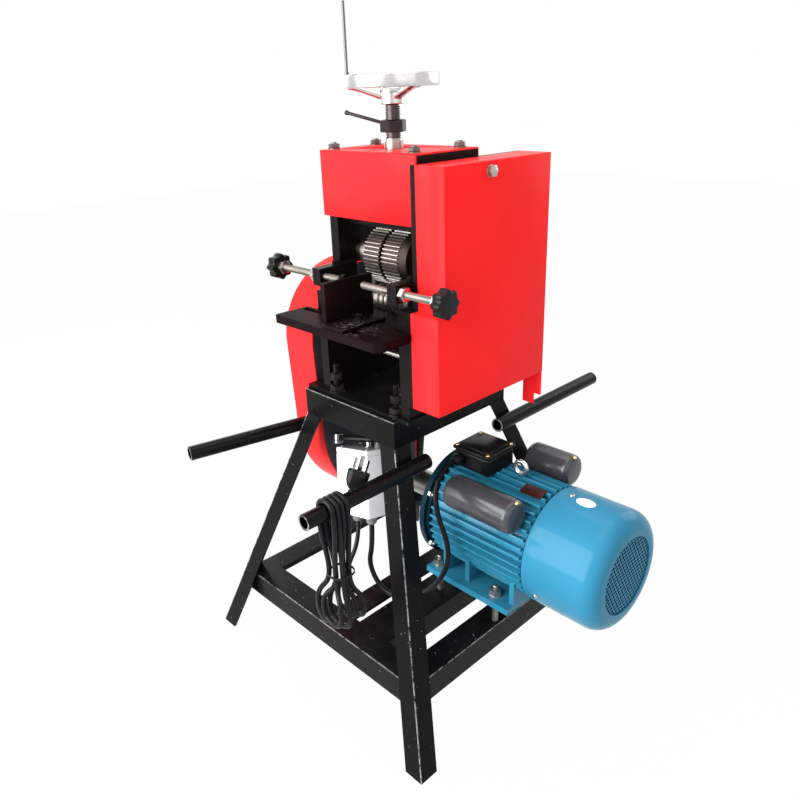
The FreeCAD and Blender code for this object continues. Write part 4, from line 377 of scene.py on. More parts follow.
def housing_finish():
    """Teal castings; the lifting eye on top is bare zinc."""
    eye_foot = 0.3268
    finish = Finish("motor_castings")
    eye = finish.axis("Z") > eye_foot
    cloud = finish.step(finish.noise(9.0, 4.0), 0.35, 0.70)
    paint = finish.mix(cloud, (0.020, 0.170, 0.270), (0.034, 0.230, 0.360))
    grit = finish.noise(260.0, 4.0, 0.7)
    scuff = finish.step(finish.noise(60.0, 6.0, 0.7), 0.63, 0.72)
    painted = finish.mix(scuff * 0.5, paint, (0.06, 0.22, 0.30))
    return finish.surface(
        Base_Color=finish.mix(eye, painted, (0.72, 0.72, 0.70)), Metallic=eye, IOR=1.18,
        Roughness=0.24 + grit * 0.10 + scuff * 0.12, Coat_Weight=0.25, Coat_Roughness=0.06,
        Normal=finish.bump(grit, 0.00010))


scoured_table = table_finish()
feed_rollers = knurl_finish()
motor_castings = housing_finish()


# Cords

cord_dia, lead_dia = 7.0, 8.0
switch_lean = Matrix.Rotation(math.radians(17.0), 4, Vector((-1, -1, 0)))
switch_corner = Vector((-2.0, -85.0, 359.0))
mains_gland_x, motor_gland_x, gland_y, gland_low, gland_reach = -46.0, -14.0, 18.0, -117.0, -151.0


def leaning(x, y, z):
    """A point of the leaning switch box, from the near corner of its top, in millimetres."""
    return switch_corner + switch_lean @ Vector((x, y, z))


def flex(name, points, dia, finish):
    """A cord: one smooth spline through the air, its points in millimetres."""
    curve = bpy.data.curves.new(name, "CURVE")
    curve.dimensions = "3D"
    curve.bevel_depth = dia / 2 * MM
    curve.bevel_resolution = 6
    curve.resolution_u = 10
    curve.use_fill_caps = True
    spline = curve.splines.new("NURBS")
    spline.points.add(len(points) - 1)
    for point, place in zip(spline.points, points):
        point.co = (*(Vector(place) * MM), 1.0)
    spline.order_u = 3
    spline.use_endpoint_u = True
    curve.materials.append(finish)
    obj = bpy.data.objects.new(name, curve)
    bpy.context.scene.collection.objects.link(obj)
    return obj


# The hank hangs in four turns over the handle tube. Its strands lie side by side on the tube, close up in
# the tied waist and spread again in the low folds.
hank_x, hank_y, hank_pitch, hank_r = 116.45, -257.0, 7.6, 14.75
hank_mid = hank_y + hank_pitch * 1.75
bunch, spread = 5.85, 1.65
tie_low, tie_high, waist_low, straight_low = 285, 306, 264, 350
fold_z, crown_z, fold_in = 388.1, 396.75, 6.1
low_fold_z, low_fold_top = 226.0, 22
turns = ((0.0, 1.22), (-7.0, 1.42), (2.0, 1.24), (-3.0, 1.34))


def tied(turn, side):
    """Where a strand lies in the tied waist: back strands at side -1, front ones at side 1."""
    deep = (9.0, 4.0, 11.0, 4.0, 9.0) if side < 0 else (4.0, 11.0, 4.0, 9.5)
    return hank_x + side * deep[turn], hank_mid + (turn - 1.5) * bunch


inlet = leaning(mains_gland_x, gland_y, gland_low)
first_x, first_y = tied(0, -1)
supply_run = [
    inlet, leaning(mains_gland_x, gland_y, gland_reach), (-10, -134, 168), (22, -154, 160), (50, -184, 162),
    (70, -217, 172), (80, -244, 186), (85, -255, 208), (86, -260, 232), (90, -259, 254),
    (first_x - 3, first_y - 2, 272),
]
hank_run = []
for turn, (drop, wide) in enumerate(turns):
    top_y = hank_y + hank_pitch * turn
    low_y = hank_mid + (top_y + hank_pitch / 2 - hank_mid) * spread
    (back_x, back_y), (front_x, front_y) = tied(turn, -1), tied(turn, 1)
    after_x, after_y = tied(turn + 1, -1)
    bow = hank_r * wide
    low_z = low_fold_z + drop
    hank_run += [
        (back_x, back_y, tie_low), (back_x, back_y, tie_high),
        (hank_x - hank_r, top_y, straight_low), (hank_x - hank_r, top_y, fold_z),
        (hank_x - fold_in, top_y, crown_z), (hank_x + fold_in, top_y, crown_z),
        (hank_x + hank_r, top_y, fold_z), (hank_x + hank_r, top_y, straight_low),
        (front_x, front_y, tie_high), (front_x, front_y, waist_low),
        (hank_x + bow, low_y, low_z + low_fold_top), (hank_x + bow, low_y, low_z - fold_in),
        (hank_x + fold_in, low_y, low_z - hank_r), (hank_x - fold_in, low_y, low_z - hank_r),
        (hank_x - bow, low_y, low_z - fold_in), (hank_x - bow, low_y, low_z + low_fold_top),
        (after_x, after_y, waist_low),
    ]
plug_foot = Vector((90.0, -195.0, 361.0))
plug_lean = math.radians(26.0)
plug_way = Vector((0, math.sin(plug_lean), math.cos(plug_lean)))
plug_run = [
    (after_x, after_y, tie_low), (after_x, after_y, 300), (after_x - 3.5, after_y + 4.6, 315),
    plug_foot - plug_way * 22.0, plug_foot + plug_way * 1.0,
]
power_cord = flex("power_cord", supply_run + hank_run + plug_run, cord_dia, cord_jacket)

cable_run = [
    leaning(motor_gland_x, gland_y, gland_low), leaning(motor_gland_x, gland_y, gland_reach),
    (6, -100, 172), (23, -97, 136), (52, -90, 124), (86, -72, 134), (112, -58, 160), (126, -47, 196),
    (124, -44, 234), (106, -46, 272), (96, -41, 304), (93, -29, 325), (88, -8, 337), (88, 22, 337),
]
motor_lead = flex("motor_lead", cable_run, lead_dia, cord_jacket)


# Mesh tools; their places and sizes are in millimetres

def piece(name, parts, body, stands_for=(), sharp=35.0, shape=None):
    """Joins meshes, each with its finish, into one piece that rides on a body."""
    mesh = bpy.data.meshes.new(name)
    whole = bmesh.new()
    for index, (bm, finish) in enumerate(parts):
        bmesh.ops.remove_doubles(bm, verts=bm.verts, dist=2e-6)
        bmesh.ops.recalc_face_normals(bm, faces=bm.faces)
        if shape is not None:
            bmesh.ops.transform(bm, matrix=shape, verts=bm.verts)
        for face in bm.faces:
            face.material_index = index
        bm.to_mesh(mesh)
        bm.free()
        whole.from_mesh(mesh)
        mesh.materials.append(finish)
    whole.to_mesh(mesh)
    whole.free()
    mesh.polygons.foreach_set("use_smooth", [True] * len(mesh.polygons))
    mesh.set_sharp_from_angle(angle=math.radians(sharp))
    obj = bpy.data.objects.new(name, mesh)
    bpy.context.scene.collection.objects.link(obj)
    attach(obj, body)
    if stands_for:
        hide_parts(*stands_for)
    return obj


def walled(obj, thick):
    """Gives a shell its sheet thickness, inwards."""
    wall = obj.modifiers.new("sheet", "SOLIDIFY")
    wall.thickness = thick * MM
    wall.offset = -1.0
    return obj


def points_of(geometry):
    return [g for g in geometry if isinstance(g, bmesh.types.BMVert)]


def edges_of(points):
    """The edges that meet in some points, each once."""
    return list({e for v in points for e in v.link_edges})


def chain(bm, verts):
    return [bm.edges.new(pair) for pair in zip(verts, verts[1:])]


def lathe(bm, axis, centre, outline, steps=48):
    """Spins (place along the axis, radius) points about the axis; an outline off the axis is closed."""
    centre = Vector(centre) * MM
    verts = [bm.verts.new(centre + ALONG[axis] * a * MM + ACROSS[axis] * r * MM) for a, r in outline]
    edges = chain(bm, verts)
    if outline[0][1] > 0:
        edges.append(bm.edges.new((verts[-1], verts[0])))
    before = set(bm.verts)
    bmesh.ops.spin(bm, geom=verts + edges, cent=centre, axis=ALONG[axis], angle=2 * math.pi, steps=steps,
                   use_merge=True)
    return verts + [v for v in bm.verts if v not in before]


def rounded(bm, edges, amount, segments=3):
    """Rounds edges over and gives back the new faces."""
    done = bmesh.ops.bevel(bm, geom=list(edges), offset=amount * MM, offset_type="OFFSET", segments=segments,
                           profile=0.5, affect="EDGES", material=-1, clamp_overlap=True)
    return done["faces"]


def block(bm, low, high):
    """A box between two corners in metres, still with sharp edges."""
    made = bmesh.ops.create_cube(bm, size=1.0)["verts"]
    bmesh.ops.scale(bm, vec=high - low, verts=made)
    bmesh.ops.translate(bm, vec=(low + high) / 2, verts=made)
    return made


def slab(bm, low, high, rounding=1.0, segments=2):
    """A block between two corners, its edges rounded."""
    made = block(bm, mm(*low), mm(*high))
    faces = rounded(bm, edges_of(made), rounding, segments)
    return list({v for f in faces for v in f.verts} | {v for v in made if v.is_valid})


def hexagon(bm, axis, centre, low, high, flats, bore=0.0, chamfer=1.0):
    """A nut or bolt head along an axis, given over its flats; a bore is given by its radius."""
    stretch = 1 / math.cos(math.pi / 6)
    radius = flats / 2 * stretch
    lathe(bm, axis, centre, [
        (low, bore * stretch), (low, radius - chamfer), (low + chamfer * 0.6, radius),
        (high - chamfer * 0.6, radius), (high, radius - chamfer), (high, bore * stretch)], 6)


def washer(bm, axis, centre, low, thick, radius):
    """A washer that a nut covers, so its bore is left out."""
    ease = 0.3
    lathe(bm, axis, centre, [(low, 0.0), (low, radius), (low + thick - ease, radius),
                             (low + thick, radius - ease), (low + thick, 0.0)], 32)


def thread(bm, axis, centre, low, high, dia, pitch):
    """A screw thread: a zigzag outline spun once while it climbs one pitch, over a plain core."""
    steps = 20
    outer, inner = dia / 2, dia / 2 - pitch * 0.6
    lathe(bm, axis, centre, [(low, 0.0), (low, inner + 0.05), (high - 0.8, inner + 0.05),
                             (high, inner - 0.6), (high, 0.0)], steps)
    zigzag = [(low, inner)]
    for turn in range(int((high - low) / pitch) - 1):
        start = low + pitch * turn
        zigzag += [(start + pitch * share, r)
                   for share, r in ((0.15, inner), (0.45, outer), (0.65, outer), (0.95, inner))]
    centre = Vector(centre) * MM
    verts = [bm.verts.new(centre + ALONG[axis] * a * MM + ACROSS[axis] * r * MM) for a, r in zigzag]
    bmesh.ops.spin(bm, geom=verts + chain(bm, verts), cent=centre, axis=ALONG[axis],
                   dvec=ALONG[axis] * pitch * MM / steps, angle=2 * math.pi, steps=steps, use_merge=False)


def turn_about(bm, verts, point, axis, degrees):
    """Turns some points about a line."""
    bmesh.ops.rotate(bm, verts=[v for v in verts if v.is_valid], cent=Vector(point) * MM,
                     matrix=Matrix.Rotation(math.radians(degrees), 3, axis))


def screw_head(bm, place, way, radius, high):
    """A pan head with a driver recess, pointing along a direction."""
    made = lathe(bm, "z", (0, 0, 0), [
        (0.0, 0.0), (0.0, radius), (high * 0.35, radius), (high * 0.8, radius * 0.82), (high, radius * 0.5),
        (high, radius * 0.3), (high * 0.55, radius * 0.26), (high * 0.55, 0.0)], 24)
    turn = Vector((0, 0, 1)).rotation_difference(Vector(way)).to_matrix().to_4x4()
    bmesh.ops.transform(bm, matrix=Matrix.Translation(mm(*place)) @ turn, verts=made)


def drawn_out(bm, face, way):
    """Extrudes a face along a vector."""
    made = bmesh.ops.extrude_face_region(bm, geom=[face])["geom"]
    bmesh.ops.translate(bm, vec=mm(*way), verts=points_of(made))


def soft_ring(bm, segments, power, middle, half_x, half_y):
    """A level ring between an oval (power 1) and a rectangle (power 0); gives back its edges."""
    ring = bmesh.ops.create_circle(bm, segments=segments, radius=1.0)["verts"]
    x, y, z = middle
    for v in ring:
        angle = math.atan2(v.co.y, v.co.x)
        v.co.x = (x + half_x * math.copysign(abs(math.cos(angle)) ** power, math.cos(angle))) * MM
        v.co.y = (y + half_y * math.copysign(abs(math.sin(angle)) ** power, math.sin(angle))) * MM
        v.co.z = z * MM
    return edges_of(ring)


# Nodes shown as they are

for finish, names in (
        (leg_paint, ("leg_front_left", "leg_front_right", "leg_rear_left", "leg_rear_right")),
        (top_rail_paint, ("top_ring",)),
        (low_rail_paint, ("brace_ring",)),
        (handle_paint, ("carrying_handles",)),
        (stand_paint, ("motor_cross_members", "base_plate", "switch_hanger")),
        (head_paint, ("side_plate_left", "side_plate_right", "gear_case_plate", "head_top_plate",
                      "pressure_bar", "sliding_bearings", "guide_lugs")),
        (scoured_table, ("feed_table",)),
        (sheet_grey, ("guard_back_plate",)),
        (red_paint, ("belt_guard",)),
        (bright_steel, ("input_shaft", "drive_extension", "motor_rotor", "upper_roller_gear",
                        "lower_roller_gears", "lay_gears", "spindle_nut", "tie_rod")),
        (cast_iron, ("lower_bearings", "shaft_bearings", "driven_pulley", "motor_pulley")),
        (feed_rollers, ("upper_roller", "lower_roller")),
        (motor_castings, ("motor_housing",)),
        # The end shields' dark teal is painted shade.
        (painted_shade_shield, ("end_shields",)),
        (black_plastic, ("motor_fan",)),
        (rubber, ("belt",)),
        (rod_steel, ("crank_rod",))):
    for name in names:
        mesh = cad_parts[name].data
        mesh.materials.clear()
        mesh.materials.append(finish)

# Pressing spindle, handwheel and lock nut

bm, tip = bmesh.new(), bmesh.new()
thread(bm, "z", spindle_at, 709.3, 842.0, 20.0, 2.5)
lathe(bm, "z", spindle_at, [(701.3, 0.0), (701.3, 14.0), (702.3, 15.0), (708.3, 15.0), (709.3, 14.0),
                            (709.3, 0.0)])
lathe(tip, "z", spindle_at, [(841.0, 0.0), (841.0, 6.0), (877.0, 6.0), (878.0, 5.0), (878.0, 0.0)])
piece("threaded_spindle", [(bm, dark_steel), (tip, bright_steel)], "handwheel",
      ("spindle",))

bm = bmesh.new()
lathe(bm, "z", spindle_at, [
    (862.0, 53.6), (862.0, 59.2), (862.5, 60.1), (863.6, 60.5), (875.4, 60.5), (876.9, 60.1), (877.8, 59.0),
    (878.0, 57.6), (877.8, 54.2), (876.8, 53.0), (875.4, 52.5), (863.6, 52.5), (862.5, 52.9)], 96)
lathe(bm, "z", spindle_at, [
    (842.0, 6.02), (842.0, 14.8), (843.2, 16.0), (857.0, 16.0), (860.0, 15.4), (862.0, 13.6), (862.6, 11.0),
    (862.6, 6.02)], 64)
for heading in (230.0, 350.0, 110.0):
    arm = lathe(bm, "x", (0, 0, 0), [(14.0, 0.0), (14.0, 6.6), (24.0, 5.4), (40.0, 4.9), (50.0, 5.6),
                                     (56.0, 6.8), (56.0, 0.0)], 24)
    bmesh.ops.scale(bm, vec=(1.0, 1.25, 0.72), verts=arm)
    turn_about(bm, arm, (14.0, 0, 0), "Y", -18.0)
    bmesh.ops.translate(bm, vec=mm(0, 0, 852.0), verts=arm)
    turn_about(bm, arm, (0, 0, 0), "Z", heading)
    bmesh.ops.translate(bm, vec=mm(*spindle_at), verts=arm)
piece("spoked_handwheel", [(bm, wheel_metal)], "handwheel", ("handwheel",))

bm = bmesh.new()
hexagon(bm, "z", spindle_at, 808.5, 823.5, 30.0, 10.3, 1.6)
rod = lathe(bm, "z", (0, 0, 0), [
    (13.0, 0.0), (13.0, 3.4), (18.0, 3.0), (22.0, 2.25), (88.0, 2.25), (89.2, 2.8), (91.0, 3.2), (93.0, 3.1),
    (94.6, 1.9), (95.1, 0.0)], 24)
turn_about(bm, rod, (0, 0, 0), "Y", -80.0)
bmesh.ops.translate(bm, vec=mm(spindle_x, spindle_y, 816.0), verts=rod)
piece("lock_nut_with_rod", [(bm, oiled_steel)], "lock_nut", ("lock_nut",))

# Red sheet covers

hood_top, cover_sheet = 788.0, 1.8


def hood_shell():
    """The head's sheet cover: five sides, rounded, with a hole for the spindle's nut."""
    bm = bmesh.new()
    block(bm, mm(-66.0, -82.0, 702.2), mm(113.7, 34.0, hood_top))
    bmesh.ops.delete(bm, geom=[f for f in bm.faces if f.normal.z < -0.9], context="FACES_ONLY")
    rounded(bm, [e for e in bm.edges if not e.is_boundary], 1.0)
    top = max(bm.faces, key=lambda f: f.calc_center_median().z * 100 + f.calc_area())
    border = list(top.edges)
    bmesh.ops.delete(bm, geom=[top], context="FACES_ONLY")
    place = Matrix.Translation(mm(spindle_x, spindle_y, hood_top))
    hole = bmesh.ops.create_circle(bm, segments=48, radius=12.9 * MM, matrix=place)["verts"]
    bmesh.ops.triangle_fill(bm, edges=border + edges_of(hole), use_beauty=True, normal=(0, 0, 1))
    return bm


walled(piece("head_hood", [(hood_shell(), red_paint)], "stand", ("head_cover",)), cover_sheet)

bm = bmesh.new()
outline = [bm.verts.new(mm(122.2, y, z)) for y, z in (
    (-106.0, 472.0), (114.0, 472.0), (114.0, 777.0), (-92.0, 777.0), (-92.0, 601.0), (-106.0, 601.0))]
drawn_out(bm, bm.faces.new(outline), (46.4, 0, 0))
inner_side = [f for f in bm.faces if abs(f.normal.x) > 0.9 and f.calc_center_median().x < 0.13]
bmesh.ops.delete(bm, geom=inner_side, context="FACES_ONLY")
rounded(bm, [e for e in bm.edges if not e.is_boundary], 1.0)
walled(piece("gear_hood", [(bm, red_paint)], "stand", ("gear_cover",)), cover_sheet)

bm = bmesh.new()
slab(bm, (136.0, 112.0, 418.0), (156.0, 113.8, 473.0), 0.5)
slab(bm, (155.0, 112.0, 435.0), (168.0, 113.8, 473.0), 0.5)
piece("gear_hood_tail", [(bm, red_paint)], "stand")

# Fence and guide screws

clamp_at = (31.0, -114.0, 0)
bm, clamp = bmesh.new(), bmesh.new()
slab(bm, (9.0, -156.5, 575.4), (17.0, -73.0, 632.0), 0.8)
slab(bm, (16.5, -164.0, 575.4), (58.0, -88.0, 580.3), 0.8)
lathe(bm, "x", screw_line, [(1.0, 0.0), (1.0, 8.2), (1.8, 9.0), (9.5, 9.0), (9.5, 0.0)], 40)
washer(clamp, "z", clamp_at, 580.3, 1.6, 8.5)
hexagon(clamp, "z", clamp_at, 581.9, 587.9, 13.0)
hexagon(clamp, "z", clamp_at, 556.0, 562.7, 13.0)
thread(clamp, "z", clamp_at, 553.2, 577.0, 8.0, 1.25)
piece("fence_with_clamp", [(bm, scoured_table), (clamp, oiled_steel)], "fence",
      ("fence_plate",))


def star_knob(bm, low, high, outward):
    """A hand knob with eight soft lobes on the guide screws' line."""
    knob_r, lobe, lobes = 17.4, 1.6, 8
    circle = bmesh.ops.create_circle(bm, cap_ends=True, segments=96, radius=1.0)["verts"]
    for v in circle:
        v.co *= (knob_r + lobe * math.cos(lobes * math.atan2(v.co.y, v.co.x))) * MM
    drawn_out(bm, circle[0].link_faces[0], (0, 0, high - low))
    rims = [e for e in bm.edges if len(e.link_faces) == 2
            and any(abs(f.normal.z) > 0.9 for f in e.link_faces)
            and any(abs(f.normal.z) < 0.1 for f in e.link_faces)]
    rounded(bm, rims, 2.4)
    bmesh.ops.rotate(bm, verts=bm.verts, cent=(0, 0, 0), matrix=Matrix.Rotation(math.pi / 2, 3, "Y"))
    bmesh.ops.translate(bm, verts=bm.verts, vec=mm(low, *screw_line[1:]))
    end = high if outward > 0 else low
    lathe(bm, "x", screw_line, [
        (end - outward * 1.0, 0.0), (end - outward * 1.0, 8.0), (end, 7.4), (end - outward * 0.2, 5.6),
        (end - outward * 0.9, 0.0)], 32)


jam_high, jam_flats = 8, 17.0
for side, knob_low, knob_high, jam, low, high, outward in (
        ("left", -149.0, -133.0, -133.0, -126.0, 0.7, -1), ("right", 178.0, 194.0, 170.0, 42.0, 172.0, 1)):
    knob, metal = bmesh.new(), bmesh.new()
    star_knob(knob, knob_low, knob_high, outward)
    hexagon(metal, "x", screw_line, jam, jam + jam_high, jam_flats)
    thread(metal, "x", screw_line, low, high, 10.0, 1.5)
    piece("guide_screw_" + side + "_threaded", [(knob, black_plastic), (metal, zinc)],
          "guide_screw_" + side, ("guide_screw_" + side,))

# Bolts

cover_at, plate_top = (0, -10.0, 765.0), 453.0
dark, bright, oiled = bmesh.new(), bmesh.new(), bmesh.new()
for x, y in ((-54.0, -66.0), (-52.0, 8.0), (97.0, -66.0), (97.0, 16.0)):
    washer(dark, "z", (x, y, 0), hood_top, 1.6, 8.5)
    hexagon(dark, "z", (x, y, 0), 789.6, 795.0, 13.0)
    lathe(dark, "z", (x, y, 0), [(794.5, 0.0), (794.5, 4.4), (796.2, 4.0), (796.6, 3.2), (796.6, 0.0)], 24)
washer(bright, "x", cover_at, 168.6, 1.6, 7.5)
hexagon(bright, "x", cover_at, 170.2, 175.6, 13.0)
for x, y, high in ((-38.0, -103.0, 42.0), (-82.0, 60.0, 20.0), (87.0, -103.0, 42.0), (87.0, 72.0, 20.0)):
    washer(oiled, "z", (x, y, 0), plate_top, 2.0, 11.0)
    hexagon(oiled, "z", (x, y, 0), 455.0, 464.0, 17.0)
    thread(oiled, "z", (x, y, 0), 463.0, plate_top + high, 8.0, 1.25)
    if high > 40:
        washer(oiled, "z", (x, y, 0), 472.0, 1.8, 8.5)
        hexagon(oiled, "z", (x, y, 0), 473.8, 482.0, 14.0)
for x in (-59.0, 115.0):
    hexagon(bright, "x", screw_line, x, x + jam_high, jam_flats, 5.1)
piece("head_bolts", [(dark, dark_steel), (bright, zinc), (oiled, oiled_steel)], "stand",
      ("frame_bolts",))

bm = bmesh.new()
for x in (78.0, 190.0):
    for y in (-13.0, 127.0):
        thread(bm, "z", (x, y, 0), 111.6, 176.0, 10.0, 1.5)
        hexagon(bm, "z", (x, y, 0), 142.0, 149.8, 17.0)
        washer(bm, "z", (x, y, 0), 160.2, 1.8, 10.5)
        hexagon(bm, "z", (x, y, 0), 162.0, 169.6, 17.0)
piece("motor_stud_set", [(bm, zinc)], "stand", ("motor_studs",))

# Fan cowl: a turned shell with a honeycomb grille in its end

cowl_r, cowl_bend, cowl_end, cowl_wall, eye_r = 87.5, 25.0, 360.0, 1.5, 57.0
grille_x, grille_r, cell, cell_hole, grille_deep = 358.2, 58.5, 6.9, 3.05, 1.0
bend_x, bend_r, shoulder_r = cowl_end - cowl_bend, cowl_r - cowl_bend, 70
cowl, fixings = bmesh.new(), bmesh.new()
outside = [(247.0, cowl_r), (bend_x, cowl_r)]
for step in range(1, 11):
    angle = math.radians(9 * step)
    outside.append((bend_x + cowl_bend * math.sin(angle), bend_r + cowl_bend * math.cos(angle)))
inside = [(a - cowl_wall if r < shoulder_r else a, r - cowl_wall if r > shoulder_r else r)
          for a, r in outside]
lathe(cowl, "x", motor_at,
      outside + [(cowl_end, eye_r), (cowl_end - cowl_wall, eye_r)] + inside[::-1], 96)
for row in range(-9, 10):
    for column in range(-9, 10):
        y, z = (column + (row % 2) / 2) * cell, row * cell * math.cos(math.pi / 6)
        if math.hypot(y, z) > grille_r:
            continue
        place = Matrix.Translation(mm(grille_x, motor_y + y, motor_z + z))
        place = place @ Matrix.Rotation(math.pi / 2, 4, "Y") @ Matrix.Rotation(math.pi / 2, 4, "Z")
        rings = []
        for radius in (cell / math.sqrt(3), cell_hole):
            rings += bmesh.ops.create_circle(cowl, segments=6, radius=radius * MM, matrix=place)["verts"]
        bmesh.ops.bridge_loops(cowl, edges=edges_of(rings))
bmesh.ops.remove_doubles(cowl, verts=cowl.verts, dist=2e-5)
grille = [f for f in cowl.faces
          if len(f.verts) == 4 and all(abs(v.co.x - grille_x * MM) < 1e-5 for v in f.verts)]
drawn = bmesh.ops.extrude_face_region(cowl, geom=grille)["geom"]
bmesh.ops.translate(cowl, vec=mm(-grille_deep, 0, 0), verts=points_of(drawn))
for turn in (206.0, 334.0, 90.0):
    way = (0, math.cos(math.radians(turn)), math.sin(math.radians(turn)))
    screw_head(fixings, (266.5, motor_y + way[1] * 87.3, motor_z + way[2] * 87.3), way, 4.2, 2.6)
piece("fan_cowl", [(cowl, teal_paint), (fixings, zinc)], "stand", ("fan_cover",))

# Motor fittings

bm = bmesh.new()
for y in (-18.0, 132.0):
    for z in (196.0, 284.0):
        hexagon(bm, "x", (0, y, z), 63.0, 69.0, 10.0)
        lathe(bm, "x", (0, y, z), [(68.5, 0.0), (68.5, 2.8), (72.0, 2.8), (72.4, 2.2), (72.4, 0.0)], 20)
piece("flange_bolts", [(bm, zinc)], "stand")

bm, fixings = bmesh.new(), bmesh.new()
end_curve = ((0.0, 0.0), (0.0, 15.0), (0.8, 19.0), (3.0, 22.6), (6.5, 24.6), (10.0, 25.0))
for y, z, low, high in ((-22.0, 312.0, 112.0, 232.0), (132.0, 318.0, 142.0, 222.0)):
    lathe(bm, "x", (0, y, z),
          [(low + a, r) for a, r in end_curve] + [(high - a, r) for a, r in reversed(end_curve)], 64)
    screw_head(fixings, (high - 2.0, y, z + 23.0), (0.5, 0, 0.866), 2.6, 1.6)
piece("capacitor_shells", [(bm, gloss_plastic), (fixings, brass)], "stand",
      ("capacitor_covers",))

bm, fixings, gland = bmesh.new(), bmesh.new(), bmesh.new()
slab(bm, (76.0, 25.0, 321.2), (142.0, 87.0, 350.5), 4.0, 3)
slab(bm, (74.0, 23.0, 350.0), (144.0, 89.0, 356.0), 2.4, 3)
slab(bm, (82.0, 31.0, 355.0), (136.0, 81.0, 357.0), 1.0)
for x in (79.5, 138.5):
    for y in (28.5, 83.5):
        screw_head(fixings, (x, y, 355.8), (0, 0, 1), 3.0, 1.8)
lathe(gland, "y", (88.0, 0, 337.0), [(8.0, 4.3), (8.0, 6.5), (12.0, 8.5), (15.0, 9.4), (18.0, 9.4),
                                     (18.0, 4.3)], 32)
hexagon(gland, "y", (88.0, 0, 337.0), 18.0, 24.9, 18.0, 4.3)
piece("terminal_box_fitted", [(bm, black_plastic), (fixings, brass), (gland, rubber)], "stand",
      ("terminal_box",))

# A brown blank plate on the housing, and a white oval on the fan cowl's top that is a painted highlight
# where light glints on the cowl.
bm, oval = bmesh.new(), bmesh.new()
badge = slab(bm, (198.0, 26.0, 323.2), (234.0, 46.0, 324.4), 0.4)
turn_about(bm, badge, (216.0, 36.0, 323.8), "X", 14.0)
lathe(oval, "z", (0, 0, 0), [(0.0, 0.0), (0.0, 9.8), (0.3, 10.0), (0.9, 10.0), (1.1, 9.8), (1.1, 0.0)], 40)
bmesh.ops.scale(oval, vec=(1.45, 0.95, 1.0), verts=oval.verts)
bmesh.ops.translate(oval, vec=mm(290.6, 54.0, 326.7), verts=oval.verts)
piece("blank_plate_and_painted_highlight", [(bm, plate_brown), (oval, highlight_white)], "stand")

# Reversing switch, drawn upright from the near corner of its top and then leaned

on_switch = Matrix.Translation(switch_corner * MM) @ switch_lean
lever_x, lever_y = -25.0, 28.0
body, lid, metal, base = bmesh.new(), bmesh.new(), bmesh.new(), bmesh.new()
slab(body, (-73.0, 0.0, -105.0), (0.0, 51.0, -9.2), 2.4, 3)
slab(body, (-73.0, 0.0, -9.6), (0.0, 51.0, -0.4), 2.4, 3)
slab(lid, (-71.0, 2.0, -1.4), (-2.0, 49.0, 0.0), 0.5)
for x, y in ((-66.0, 7.0), (-7.0, 7.0), (-66.0, 44.0), (-7.0, 44.0)):
    screw_head(metal, (x, y, -0.2), (0, 0, 1), 2.8, 1.6)
washer(metal, "z", (lever_x, lever_y, 0), -0.2, 0.45, 9.0)
lathe(base, "z", (-7.5, 30.0, 0), [(-0.2, 0.0), (-0.2, 5.6), (4.0, 4.6), (9.5, 2.6), (10.0, 1.6),
                                   (10.0, 0.0)], 32)
for x in (mains_gland_x, motor_gland_x):
    hexagon(base, "z", (x, gland_y, 0), -109.5, -105.0, 17.0, 3.0)
    lathe(base, "z", (x, gland_y, 0), [(gland_low, 3.4), (gland_low, 5.4), (-115.6, 7.2), (-112.6, 8.4),
                                       (-109.4, 8.6), (-109.4, 3.4)], 32)
piece("switch_box", [(body, grey_paint), (lid, lid_paint), (metal, zinc), (base, lid_paint)], "stand",
      ("switch_housing",), shape=on_switch)

arm, metal = bmesh.new(), bmesh.new()
slab(arm, (-10.0, -8.0, 8.5), (50.0, 8.0, 17.0), 3.4, 3)
lathe(metal, "z", (0, 0, 0), [(0.6, 0.0), (0.6, 9.0), (2.8, 9.0), (3.2, 6.0), (8.7, 6.0), (8.7, 0.0)], 32)
lathe(metal, "z", (0, 0, 0), [(15.8, 0.0), (15.8, 6.5), (18.4, 6.5), (19.4, 5.4), (19.4, 0.0)], 6)
lathe(metal, "z", (57.0, 0, 0), [
    (4.0, 0.0), (4.0, 7.2), (4.8, 8.2), (9.0, 8.2), (9.8, 7.4), (10.6, 8.2), (19.0, 8.2), (20.0, 7.0),
    (20.0, 0.0)], 40)
slab(metal, (46.0, -4.0, 10.0), (57.0, 4.0, 14.5), 1.0)
for bm in (arm, metal):
    turn_about(bm, bm.verts, (0, 0, 0), "Z", 199.0)
    bmesh.ops.translate(bm, vec=mm(lever_x, lever_y, 0), verts=bm.verts)
piece("lever_with_knob", [(arm, black_plastic), (metal, chrome)], "switch_lever",
      ("switch_lever",), shape=on_switch)

# Plug, drawn upright with its foot at the origin, and the tie of the hank

plug_turn = Vector((0, 0, 1)).rotation_difference(plug_way).to_matrix().to_4x4()
on_plug = Matrix.Translation(plug_foot * MM) @ plug_turn @ Matrix.Rotation(math.radians(45.0), 4, "Z")
bm, pins = bmesh.new(), bmesh.new()
relief = [(0.0, 3.5), (0.0, 5.6)]
for ridge in range(3):
    z, swell = 1.6 + 5.0 * ridge, 0.5 * ridge
    relief += [(z, 6.2 + swell), (z + 1.0, 6.3 + swell), (z + 1.6, 5.2 + swell), (z + 3.0, 5.2 + swell),
               (z + 3.6, 6.6 + swell)]
lathe(bm, "z", (0, 0, 0), relief + [(16.0, 8.4), (16.0, 3.5)], 32)
rings = [soft_ring(bm, 32, 0.7, (0, 0, z), wide / 2, deep / 2) for z, wide, deep in (
    (15.0, 15.0, 13.0), (15.8, 18.0, 16.0), (20.0, 24.0, 18.0), (26.0, 28.6, 19.0), (33.0, 29.6, 20.4),
    (38.6, 30.0, 21.0), (39.6, 29.2, 20.2), (40.0, 27.0, 18.2))]
for first, second in zip(rings, rings[1:]):
    bmesh.ops.bridge_loops(bm, edges=first + second)
bmesh.ops.contextual_create(bm, geom=rings[0])
